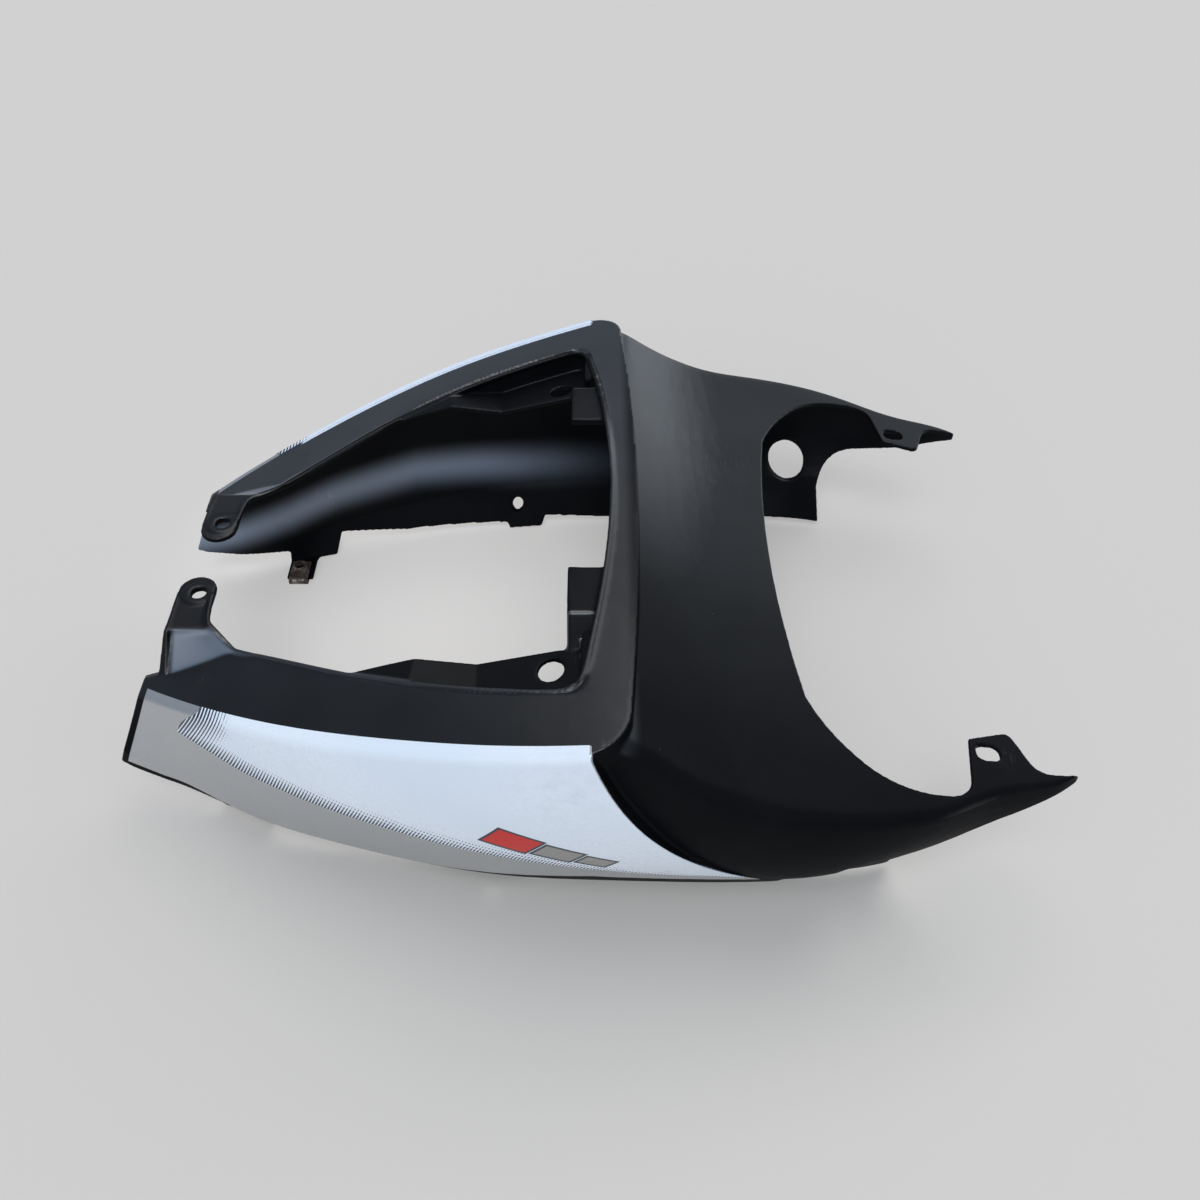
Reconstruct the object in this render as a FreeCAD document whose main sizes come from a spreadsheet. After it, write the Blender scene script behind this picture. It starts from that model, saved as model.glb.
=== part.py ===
import FreeCAD, Part

import math
import os

import Sketcher

# A motorcycle tail fairing. X runs from the front to the tail, Y to the rider's right, Z up.
# The origin is on the floor, midway between the front end and the tips of the horns.
# The shell is the same on both sides, so each size below holds for both.

doc = FreeCAD.newDocument("tail_fairing")
sheet = doc.addObject("Spreadsheet::Sheet", "Sizes")
Vector = FreeCAD.Vector
ALIAS_ROW = {}


class Size:
    """A number, with the spreadsheet expression that it comes from."""

    def __init__(self, value, text):
        self.value = float(value)
        self.text = text

    def joined(self, other, sign, value):
        return Size(value, f"({self.text} {sign} {as_size(other).text})")

    def __add__(self, other):
        return self.joined(other, "+", self.value + as_size(other).value)

    def __sub__(self, other):
        return self.joined(other, "-", self.value - as_size(other).value)

    def __mul__(self, other):
        return self.joined(other, "*", self.value * as_size(other).value)

    def __truediv__(self, other):
        return self.joined(other, "/", self.value / as_size(other).value)

    def __neg__(self):
        return Size(-self.value, f"(-1 * {self.text})")


def as_size(value):
    return value if isinstance(value, Size) else Size(value, repr(float(value)))


def size(name, value):
    """Writes one driving size to the sheet and gives it back."""
    row = len(ALIAS_ROW) + 1
    ALIAS_ROW[name] = row
    sheet.set(f"A{row}", name)
    sheet.set(f"B{row}", str(value))
    sheet.setAlias(f"B{row}", name)
    return Size(value, f"Sizes.{name}")


# Walls and small features
wall = size("wall", 2.5)
rim_round = size("rim_round", 3.0)
hem_reach = size("hem_reach", 4.0)
skirt_reach = size("skirt_reach", 6.0)
lip_width = size("lip_width", 2.5)
lip_step = size("lip_step", 1.0)
clear_reach = size("clear_reach", 40.0)

# Sections of the saddle: the front block with the side panels, cut across at each station.
# rim: the upper outer corner. crown: how far the top rises from the rim to the middle.
# sill: the lower corner, where the wall tucks under. skirt: the lower edge before it is trimmed.
# bulge: how far the wall bows out between rim and sill.
SADDLE_FIELDS = ("x", "rim_half", "rim_height", "crown", "sill_half", "sill_height",
                 "skirt_half", "skirt_height", "bulge")
saddle = {}


def saddle_station(name, *values):
    saddle[name] = {field: size(f"{name}_{field}", value) for field, value in zip(SADDLE_FIELDS, values)}
    saddle[name]["rim_round"] = rim_round


saddle_station("nose", -205.0, 54.0, 53.0, 0.3, 70.5, 33.0, 68.0, 19.0, 1.0)
saddle_station("fork", -177.0, 70.5, 62.6, 0.4, 76.5, 20.5, 75.6, 10.0, 1.5)
saddle_station("ear", -155.0, 83.9, 70.2, 0.8, 86.2, 14.5, 81.5, 4.0, 2.2)
saddle_station("clip", -125.0, 100.0, 79.7, 2.5, 101.0, 15.5, 91.5, 4.0, 3.6)
saddle_station("thigh", -95.0, 114.2, 88.8, 5.0, 111.0, 16.5, 101.5, 4.0, 5.6)
saddle_station("seat", -65.0, 125.0, 97.4, 7.0, 119.5, 17.5, 107.5, 3.0, 7.3)
saddle_station("hip", -35.0, 133.1, 104.9, 7.5, 125.5, 18.0, 110.5, 1.5, 8.3)
saddle_station("catch", -5.0, 138.8, 112.0, 6.5, 128.5, 18.5, 113.5, 1.5, 9.2)
saddle_station("bridge", 25.0, 142.5, 119.0, 4.5, 129.8, 19.0, 115.0, 1.5, 9.6)
saddle_station("panel", 85.0, 146.5, 126.5, 3.5, 129.8, 19.0, 114.0, 1.5, 10.2)

# Sections of the tail: the block behind the bridge, lower and a little narrower.
TAIL_FIELDS = ("x", "rim_half", "rim_height", "crown", "sill_half", "sill_height",
               "skirt_half", "skirt_height", "bulge", "rim_round")
tail = {}


def tail_station(name, *values):
    tail[name] = {field: size(f"{name}_{field}", value) for field, value in zip(TAIL_FIELDS, values)}


tail_station("root", 10.0, 134.0, 114.0, 0.6, 126.5, 22.0, 112.0, 1.5, 8.0, 8.0)
tail_station("valley", 30.0, 137.0, 108.3, 0.6, 127.0, 21.0, 112.5, 1.5, 8.0, 8.0)
tail_station("slope", 44.0, 139.5, 98.0, 0.6, 127.5, 20.5, 113.0, 1.5, 8.0, 8.0)
tail_station("deck", 58.0, 141.5, 90.0, 0.6, 128.0, 20.0, 113.0, 1.5, 7.5, 8.0)
tail_station("shoulder", 72.0, 142.3, 84.8, 0.6, 129.0, 20.0, 113.0, 1.5, 7.0, 8.0)
tail_station("lamp", 92.0, 142.8, 80.4, 0.6, 129.5, 21.0, 114.0, 1.5, 6.4, 7.0)
tail_station("corner", 113.0, 140.8, 77.2, 0.6, 127.0, 23.5, 114.0, 1.5, 5.5, 6.0)
tail_station("cheek", 132.0, 137.0, 73.8, 0.6, 122.5, 26.5, 111.5, 2.0, 4.7, 5.0)
tail_station("horn", 150.0, 129.5, 71.0, 0.5, 117.0, 27.0, 105.0, 2.0, 4.5, 4.0)
tail_station("spur", 175.0, 119.0, 68.0, 0.4, 110.0, 27.5, 98.0, 2.0, 4.0, 2.5)
tail_station("tip", 202.0, 108.6, 64.6, 0.3, 100.5, 28.0, 90.0, 2.0, 3.0, 1.5)


# How the sections are drawn: the length of the line that gives the top its direction at the rim, the
# share of the bulge by which the wall leans out there, and the limits on sharp corners and small rounds.
TOP_RUN = 10.0
LEAN_SHARE = 0.3
SHARPEST_CORNER = 0.5
SMALLEST_ROUND = 0.4
ROUND_LEFT = 1.0


def offset_corner(before, corner, after, inset):
    """Moves a corner of a section inwards, so that both of its sides move in by the inset."""
    first = Vector(corner[0] - before[0], corner[1] - before[1], 0).normalize()
    second = Vector(after[0] - corner[0], after[1] - corner[1], 0).normalize()
    inwards = Vector(first.y + second.y, -(first.x + second.x), 0).normalize()
    reach = inset / max(SHARPEST_CORNER, inwards.dot(Vector(second.y, -second.x, 0)))
    return (corner[0] + inwards.x * reach, corner[1] + inwards.y * reach)


def along(arc, share):
    """The point at a share of an arc from its first end."""
    return arc.value(arc.FirstParameter + (arc.LastParameter - arc.FirstParameter) * share)


def section(station, inset, reach, rounded):
    """The closed outline across the shell at one station, moved inwards by the inset."""
    at = {field: value.value for field, value in station.items()}
    rim = (at["rim_half"], at["rim_height"])
    sill = (at["sill_half"], at["sill_height"])
    skirt = (at["skirt_half"], at["skirt_height"])
    top_side = (rim[0] - TOP_RUN, rim[1])
    wall_side = (rim[0] + at["bulge"] * LEAN_SHARE, sill[1])
    edge = offset_corner(top_side, rim, wall_side, inset)
    corner = offset_corner(rim, sill, skirt, inset)
    hem = offset_corner(sill, skirt, (2 * skirt[0] - sill[0], 2 * skirt[1] - sill[1]), inset)
    run = Vector(skirt[0] - sill[0], skirt[1] - sill[1], 0).normalize() * reach
    hem = Vector(hem[0] + run.x, hem[1] + run.y, 0)
    edge = Vector(*edge, 0)
    corner = Vector(*corner, 0)
    chord = corner - edge
    middle = (edge + corner) / 2 + Vector(-chord.y, chord.x, 0).normalize() * at["bulge"]
    top = Vector(0, rim[1] + at["crown"] - inset, 0)

    # The round between the top and the wall is tangent to both.
    over = Part.Arc(Vector(-edge.x, edge.y, 0), top, edge)
    side = Part.Arc(edge, middle, corner)
    radius = max(SMALLEST_ROUND, at["rim_round"] - inset) if rounded else 0.0
    top_end = along(over, 1 - radius / over.toShape().Length)
    share = radius / side.toShape().Length
    side_start = along(side, share)
    side_middle = along(side, 0.5 + share / 2)

    def place(spot, sign):
        return Vector(at["x"], sign * spot.x, spot.y)

    def half(sign):
        rounding = Part.BezierCurve()
        rounding.setPoles([place(spot, sign) for spot in (top_end, edge, side_start)][::sign])
        wall_edges = [
            Part.Arc(*[place(spot, sign) for spot in (side_start, side_middle, corner)][::sign]).toShape(),
            Part.LineSegment(*[place(spot, sign) for spot in (corner, hem)][::sign]).toShape(),
        ]
        return ([rounding.toShape()] * rounded + wall_edges)[::sign]

    across_top = Part.Arc(place(top_end, -1), place(top, 1), place(top_end, 1)).toShape()
    across_hem = Part.LineSegment(place(hem, 1), place(hem, -1)).toShape()
    return Part.Wire([across_top, *half(1), across_hem, *half(-1)])


def form(name, stations, inset, reach):
    """The solid through all sections of a block, as an object of the document. An inner form whose
    round would be under 1 mm has a sharp corner there."""
    block = doc.addObject("Part::Feature", name)
    least = inset.value + ROUND_LEFT
    rounded = any(station["rim_round"].value > least for station in stations.values())
    sections = [section(station, inset.value, reach.value, rounded) for station in stations.values()]
    sections[0].translate(Vector(-inset.value, 0, 0))
    sections[-1].translate(Vector(inset.value, 0, 0))
    block.Shape = Part.makeLoft(sections, True, False, False, 3)
    return block


def draw(sketch, corners):
    """Draws a closed outline. A third value on a corner is the radius of the arc to the next corner:
    above zero the arc turns left, below zero it turns right."""
    corners = [tuple(as_size(value) for value in corner) for corner in corners]
    edges = []
    bindings = []
    for index, corner in enumerate(corners):
        following = corners[(index + 1) % len(corners)]
        start = Vector(corner[0].value, corner[1].value, 0)
        end = Vector(following[0].value, following[1].value, 0)
        if len(corner) == 2:
            edges.append((sketch.addGeometry(Part.LineSegment(start, end)), 1, 2))
            continue
        radius = corner[2]
        turns_left = radius.value > 0
        chord = end - start
        rise = math.sqrt(max(0.0, radius.value ** 2 - (chord.Length / 2) ** 2))
        across = Vector(-chord.y, chord.x, 0).normalize() * (rise if turns_left else -rise)
        centre = (start + end) / 2 + across
        spots = (start, end) if turns_left else (end, start)
        angles = [math.atan2(spot.y - centre.y, spot.x - centre.x) for spot in spots]
        circle = Part.Circle(centre, Vector(0, 0, 1), abs(radius.value))
        arc = sketch.addGeometry(Part.ArcOfCircle(circle, angles[0], angles[1]))
        edges.append((arc, 1, 2) if turns_left else (arc, 2, 1))
        number = sketch.addConstraint(Sketcher.Constraint("Radius", arc, abs(radius.value)))
        bindings.append((number, radius if turns_left else -radius))
    for index, (edge, start_end, far_end) in enumerate(edges):
        next_edge, next_start, _ = edges[(index + 1) % len(edges)]
        sketch.addConstraint(Sketcher.Constraint("Coincident", edge, far_end, next_edge, next_start))
        for kind, length in (("DistanceX", corners[index][0]), ("DistanceY", corners[index][1])):
            number = sketch.addConstraint(Sketcher.Constraint(kind, edge, start_end, length.value))
            bindings.append((number, length))
    for number, length in bindings:
        if "Sizes." in length.text:
            sketch.setExpression(f"Constraints[{number}]", length.text)


def circle(sketch, x, y, radius):
    """Draws a round hole or boss."""
    x, y, radius = as_size(x), as_size(y), as_size(radius)
    ring = sketch.addGeometry(Part.Circle(Vector(x.value, y.value, 0), Vector(0, 0, 1), radius.value))
    for number, length in (
        (sketch.addConstraint(Sketcher.Constraint("DistanceX", ring, 3, x.value)), x),
        (sketch.addConstraint(Sketcher.Constraint("DistanceY", ring, 3, y.value)), y),
        (sketch.addConstraint(Sketcher.Constraint("Radius", ring, radius.value)), radius),
    ):
        sketch.setExpression(f"Constraints[{number}]", length.text)


def both_sides(half, closing=()):
    """An outline from its half with positive widths: along the left side, then back along the right.
    The closing edge is straight unless it gets the radius of an arc."""
    near = [(corner[0], -corner[1], *corner[2:]) for corner in half]
    far = []
    for index in reversed(range(len(half))):
        turn = half[index - 1][2:] if index else closing
        far.append((half[index][0], half[index][1], *turn))
    return [*near, *far]


def prism(name, corners, low, high, upright=False):
    """A straight solid on an outline, from low to high: along Z, or along Y if it is upright."""
    low, high = as_size(low), as_size(high)
    sketch = doc.addObject("Sketcher::SketchObject", f"{name}_outline")
    if upright:
        sketch.Placement.Rotation = FreeCAD.Rotation(Vector(1, 0, 0), 90)
        sketch.setExpression(".Placement.Base.y", high.text)
    else:
        sketch.setExpression(".Placement.Base.z", low.text)
    draw(sketch, corners)
    solid = doc.addObject("Part::Extrusion", name)
    solid.Base = sketch
    solid.DirMode = "Normal"
    solid.Solid = True
    solid.setExpression("LengthFwd", (high - low).text)
    return solid


def cut(name, base, tool):
    result = doc.addObject("Part::Cut", name)
    result.Base = base
    result.Tool = tool
    return result


def common(name, *shapes):
    result = doc.addObject("Part::MultiCommon", name)
    result.Shapes = list(shapes)
    return result


def fuse(name, *shapes):
    result = doc.addObject("Part::MultiFuse", name)
    result.Shapes = list(shapes)
    return result


zero = as_size(0.0)
floor_under = -clear_reach
roof = saddle["panel"]["rim_height"] + clear_reach
front_end = saddle["nose"]["x"] - clear_reach
back_end = tail["tip"]["x"] + clear_reach
outside = saddle["panel"]["rim_half"] + clear_reach

# The step behind the bridge: where the saddle ends, seen from above and from the side
crest_x = size("crest_x", 23.0)
crest_half = size("crest_half", 123.0)
crest_arc = size("crest_arc", 1430.0)
crest_side_x = size("crest_side_x", 9.0)
crest_side_half = size("crest_side_half", 139.0)
crest_round = size("crest_round", 16.5)
step_x = size("step_x", 9.0)
step_height = size("step_height", 115.0)
step_arc = size("step_arc", 182.0)
step_foot_x = size("step_foot_x", 70.0)
step_foot_height = size("step_foot_height", 34.0)
step_sill_x = size("step_sill_x", 86.0)
step_sill_height = size("step_sill_height", 24.0)
step_hem_x = size("step_hem_x", 102.0)


def behind_step(name, inset):
    """Everything behind the step, moved forward by the inset."""
    over = prism(f"{name}_over", both_sides([
        (back_end, outside),
        (crest_side_x - inset, outside),
        (crest_side_x - inset, crest_side_half, crest_round),
        (crest_x - inset, crest_half, crest_arc),
    ]), floor_under, roof)
    beside = prism(f"{name}_beside", [
        (back_end, roof),
        (step_x - inset, roof),
        (step_x - inset, step_height, step_arc),
        (step_foot_x - inset, step_foot_height),
        (step_sill_x - inset, step_sill_height),
        (step_hem_x - inset, floor_under),
        (back_end, floor_under),
    ], -outside, outside, upright=True)
    return common(name, over, beside)


# The hollow shell: both blocks joined, less the room inside them
saddle_form = form("saddle_form", saddle, zero, hem_reach)
saddle_block = cut("saddle_block", saddle_form, behind_step("behind_saddle", zero))
saddle_core = form("saddle_core", saddle, wall, hem_reach + skirt_reach)
saddle_room = cut("saddle_room", saddle_core, behind_step("behind_room", wall))
tail_block = form("tail_block", tail, zero, hem_reach)
tail_room = form("tail_room", tail, wall, hem_reach + skirt_reach)
hollow = cut("hollow", fuse("blocks", saddle_block, tail_block), fuse("rooms", saddle_room, tail_room))

# The seat opening, seen from above: the line of its lip, then the edge that is cut through
throat_half = size("throat_half", 56.2)
flare_x = size("flare_x", -139.7)
flank_x = size("flank_x", -95.0)
flank_half = size("flank_half", 81.0)
flank_arc = size("flank_arc", 268.0)
elbow_x = size("elbow_x", 0.0)
elbow_half = size("elbow_half", 111.7)
elbow_round = size("elbow_round", 7.0)
bridge_x = size("bridge_front_x", 6.8)
bridge_half = size("bridge_half", 105.5)
bridge_arc = size("bridge_arc", 494.0)
lip_line = both_sides([
    (front_end, throat_half),
    (flare_x, throat_half),
    (flank_x, flank_half, flank_arc),
    (elbow_x, elbow_half, elbow_round),
    (bridge_x, bridge_half, bridge_arc),
])
tray_half = size("tray_half", 82.3)
tray_edge_x = size("tray_edge_x", -86.5)
bridge_edge_x = size("bridge_edge_x", 9.4)
throat_inset = size("throat_inset", 2.25)
flare_setback = size("flare_setback", 1.25)
seat_edge = both_sides([
    (front_end, throat_half - throat_inset),
    (flare_x + flare_setback, throat_half - throat_inset),
    (tray_edge_x, tray_half),
    (bridge_edge_x, tray_half, bridge_arc - lip_width),
])

# The two trays beside the opening: a sloping floor, a drop wall outside it and one behind
tray_front_x = size("tray_front_x", -61.0)
tray_low_x = size("tray_low_x", -36.0)
tray_back_x = size("tray_back_x", 5.0)
tray_front_height = size("tray_front_height", 102.5)
tray_low_height = size("tray_low_height", 99.0)
tray_back_height = size("tray_back_height", 109.2)
tray_tilt = size("tray_tilt", 4.5)
tray_wall_half = size("tray_wall_half", 114.0)


def tray_form(name, side, near, growth, top):
    """A block on the sloping floor of one tray, between two upright outlines."""
    def outline(half, sink):
        corners = [
            (tray_front_x - growth, top),
            (tray_front_x - growth, tray_front_height - growth - sink),
            (tray_low_x, tray_low_height - growth - sink),
            (tray_back_x + growth, tray_back_height - growth - sink),
            (tray_back_x + growth, top),
        ]
        return Part.makePolygon([Vector(x.value, side * half.value, z.value) for x, z in [*corners, corners[0]]])
    block = doc.addObject("Part::Feature", name)
    block.Shape = Part.makeLoft([outline(near, zero), outline(tray_wall_half, tray_tilt)], True, True)
    return block


inside_lip = prism("inside_lip", lip_line, floor_under, roof)
tray_room_line = both_sides([
    (front_end, throat_half - lip_width),
    (flare_x, throat_half - lip_width),
    (flank_x, flank_half - lip_width, flank_arc),
    (elbow_x - lip_width, elbow_half - lip_width, elbow_round),
    (bridge_x, bridge_half - lip_width, bridge_arc),
])
tray_plan = prism("tray_plan", tray_room_line, floor_under, roof)
tray_blocks = []
tray_rooms = []
for side, name in ((-1, "left"), (1, "right")):
    block = tray_form(f"tray_form_{name}", side, tray_half, wall, roof)
    tray_blocks.append(common(f"tray_block_{name}", block, inside_lip, saddle_form))
    room = tray_form(f"tray_rise_{name}", side, tray_half - wall, zero, roof)
    tray_rooms.append(common(f"tray_room_{name}", room, tray_plan))
with_trays = cut("with_trays", fuse("tray_walls", hollow, *tray_blocks), fuse("tray_rooms", *tray_rooms))
lowered = form("lowered", saddle, lip_step, hem_reach)
lip_band = cut("lip_band", prism("lip_prism", lip_line, tray_low_height / 2, roof), lowered)
skin = cut("skin", with_trays, lip_band)

# The one moulded body starts as that skin
shell = doc.addObject("PartDesign::Body", "cowl_shell")
shell.Label = "cowl_shell"
shell.BaseFeature = skin


def sketch_in(body, name, plane, offset=zero):
    """An empty sketch on one of the body's own planes, moved along the plane's normal."""
    sketch = body.newObject("Sketcher::SketchObject", name)
    origin_plane = next(item for item in body.Origin.OriginFeatures if item.Role == plane)
    sketch.AttachmentSupport = [(origin_plane, "")]
    sketch.MapMode = "FlatFace"
    sketch.setExpression(".AttachmentOffset.Base.z", as_size(offset).text)
    return sketch


def pocket(body, name, sketch, depth=None):
    """Cuts a sketch out of the body: to a depth, or right through both ways."""
    hole = body.newObject("PartDesign::Pocket", name)
    hole.Profile = sketch
    hole.Refine = False
    if depth is None:
        hole.Type = "ThroughAll"
        hole.SideType = "Symmetric"
    else:
        hole.setExpression("Length", as_size(depth).text)
    return hole


def pad(body, name, sketch, height):
    """Adds a sketch to the body with a height along the sketch's normal."""
    boss = body.newObject("PartDesign::Pad", name)
    boss.Profile = sketch
    boss.Refine = False
    boss.setExpression("Length", as_size(height).text)
    return boss


# The lower edge seen from the side, from the slanted front end to the horns
hem = {}


def hem_point(name, x, height):
    hem[name] = (size(f"hem_{name}_x", x), size(f"hem_{name}_height", height))


hem_point("front_top", -169.4, 90.0)
hem_point("front_foot", -200.0, 20.0)
hem_point("toe", -195.0, 17.0)
hem_point("instep", -180.0, 12.5)
hem_point("ankle", -155.5, 7.6)
hem_point("clip_foot", -155.5, 0.8)
hem_point("clip_end", -141.5, 0.8)
hem_point("lobe_start", -140.5, 2.0)
hem_point("lobe_end", -131.5, 2.0)
hem_point("lobe_top", -129.0, 11.0)
hem_point("thigh", -95.0, 6.2)
hem_point("waist", -39.5, 4.0)
hem_point("tab_start", -38.0, 1.5)
hem_point("tab_end", -20.0, 1.5)
hem_point("tab_top", -18.0, 5.7)
hem_point("flank", 10.0, 4.1)
hem_point("heel", 135.5, 4.0)
hem_point("heel_top", 133.5, 22.0)
hem_point("arch", 150.0, 43.4)
hem_point("horn", 177.0, 50.5)
hem_point("horn_tip", 205.0, 62.5)
arch_arc = size("hem_arch_arc", 23.0)
edge_outline = []
for name, corner in hem.items():
    edge_outline.append((*corner, -arch_arc) if name == "heel_top" else corner)
edge_outline += [
    (back_end, hem["horn_tip"][1]),
    (back_end, floor_under),
    (front_end, floor_under),
    (front_end, hem["front_top"][1]),
]
sketch = sketch_in(shell, "lower_edge", "XZ_Plane")
draw(sketch, edge_outline)
pocket(shell, "trim_lower_edge", sketch)

sketch = sketch_in(shell, "seat_outline", "XY_Plane", roof)
draw(sketch, seat_edge)
pocket(shell, "cut_seat_opening", sketch)

# The cut-out for the tail light, seen from above
lamp_cut = {}


def lamp_point(name, x, half):
    lamp_cut[name] = (size(f"lamp_{name}_x", x), size(f"lamp_{name}_half", half))


lamp_point("middle", 94.0, 83.4)
lamp_point("shoulder", 110.0, 110.7)
lamp_point("flank", 139.0, 125.0)
lamp_point("pocket", 145.0, 125.0)
lamp_point("turn", 154.8, 116.0)
lamp_point("tab", 158.0, 96.6)
lamp_point("tab_end", 173.5, 92.5)
lamp_point("tab_corner", 176.0, 94.0)
lamp_point("hook", 181.0, 107.0)
lamp_point("horn", 189.0, 111.2)
lamp_point("end", 201.5, 110.4)
lamp_front_arc = size("lamp_front_arc", 582.0)
lamp_inner_arc = size("lamp_inner_arc", 80.0)
lamp_outer_arc = size("lamp_outer_arc", 38.0)
lamp_pocket_arc = size("lamp_pocket_arc", 10.5)
lamp_hook_arc = size("lamp_hook_arc", 9.0)
lamp_arcs = {"middle": lamp_inner_arc, "shoulder": lamp_outer_arc, "pocket": lamp_pocket_arc,
             "hook": lamp_hook_arc}
lamp_depth_height = size("lamp_depth_height", 56.0)
half = [(*corner, lamp_arcs[name]) if name in lamp_arcs else corner for name, corner in lamp_cut.items()]
half.append((back_end, lamp_cut["end"][1]))
sketch = sketch_in(shell, "lamp_outline", "XY_Plane", roof)
draw(sketch, both_sides(half, (lamp_front_arc,)))
pocket(shell, "cut_lamp_opening", sketch, roof - lamp_depth_height)

# The two ears at the front: a flat plate, a raised ring round its hole, and a ramp down to the lip,
# whose front margin turns down
ear_hole_x = size("ear_hole_x", -163.0)
ear_hole_half = size("ear_hole_half", 23.0)
ear_hole_r = size("ear_hole_radius", 3.35)
ear_ring_r = size("ear_ring_radius", 7.0)
ear_ring_rise = size("ear_ring_rise", 0.8)
ear_front_x = size("ear_front_x", -172.5)
ear_width = size("ear_width", 16.5)
ear_round = size("ear_round", 8.25)
ear_round_half = size("ear_round_half", 20.5)
ear_bend_half = size("ear_bend_half", 42.5)
ear_back_half = size("ear_back_half", 38.0)
ear_back_x = size("ear_back_x", -151.0)
ear_rise = size("ear_rise", 7.8)
ramp_foot_half = size("ramp_foot_half", 58.0)
ramp_front_x = size("ramp_front_x", -171.0)
ramp_back_x = size("ramp_back_x", -136.0)
ramp_front_drop = size("ramp_front_drop", 12.6)
ramp_back_drop = size("ramp_back_drop", 2.4)
ear_lip_start = size("ear_lip_start", 1.5)
ear_lip_reach = size("ear_lip_reach", 4.5)
ear_lip_drop = size("ear_lip_drop", 2.5)
ear_top = saddle["ear"]["rim_height"] + ear_rise
ear_under = ear_top - wall

# The two clip tabs under the front of the walls, each with a hole
clip_hole_x = size("clip_hole_x", -149.0)
clip_hole_half = size("clip_hole_half", 72.0)
clip_hole_r = size("clip_hole_radius", 3.5)
clip_tab_half = size("clip_tab_half", 65.5)
clip_tab_under = size("clip_tab_under", 0.8)
clip_tab_wall = size("clip_tab_wall", 2.2)
clip_tab_sink = size("clip_tab_sink", 2.3)
clip_tab_flare = size("clip_tab_flare", 1.6)

# The two catch plates under the bridge's front lip, each with a leg down to its tray
catch_front_x = size("catch_front_x", -0.8)
catch_back_x = size("catch_back_x", 14.5)
catch_inner_half = size("catch_inner_half", 48.6)
catch_outer_half = size("catch_outer_half", 74.1)
catch_rise = size("catch_rise", 6.6)
catch_wall = size("catch_wall", 3.6)
catch_leg_half = size("catch_leg_half", 83.5)
catch_top = saddle["catch"]["rim_height"] + catch_rise
leg_foot = tray_back_height - wall

# Holes and slots
tray_hole_x = size("tray_hole_x", -6.6)
tray_hole_half = size("tray_hole_half", 91.0)
tray_hole_r = size("tray_hole_radius", 5.0)
slot_x = size("slot_x", 164.5)
slot_half = size("slot_half", 103.0)
slot_length = size("slot_length", 9.5)
slot_width = size("slot_width", 7.4)
slot_round = size("slot_round", 3.0)
side_hole_x = size("side_hole_x", -33.4)
side_hole_height = size("side_hole_height", 11.0)
side_hole_r = size("side_hole_radius", 2.9)
lamp_hole_x = size("lamp_hole_x", 116.5)
lamp_hole_height = size("lamp_hole_height", 32.5)
lamp_hole_r = size("lamp_hole_radius", 9.3)



def rounded_slot(sketch, x, y):
    """Draws a slot along X with round corners about a point."""
    end, straight_end = slot_length / 2, slot_length / 2 - slot_round
    edge, straight_edge = slot_width / 2, slot_width / 2 - slot_round
    draw(sketch, [
        (x - straight_end, y - edge),
        (x + straight_end, y - edge, slot_round),
        (x + end, y - straight_edge),
        (x + end, y + straight_edge, slot_round),
        (x + straight_end, y + edge),
        (x - straight_end, y + edge, slot_round),
        (x - end, y + straight_edge),
        (x - end, y - straight_edge, slot_round),
    ])


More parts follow.
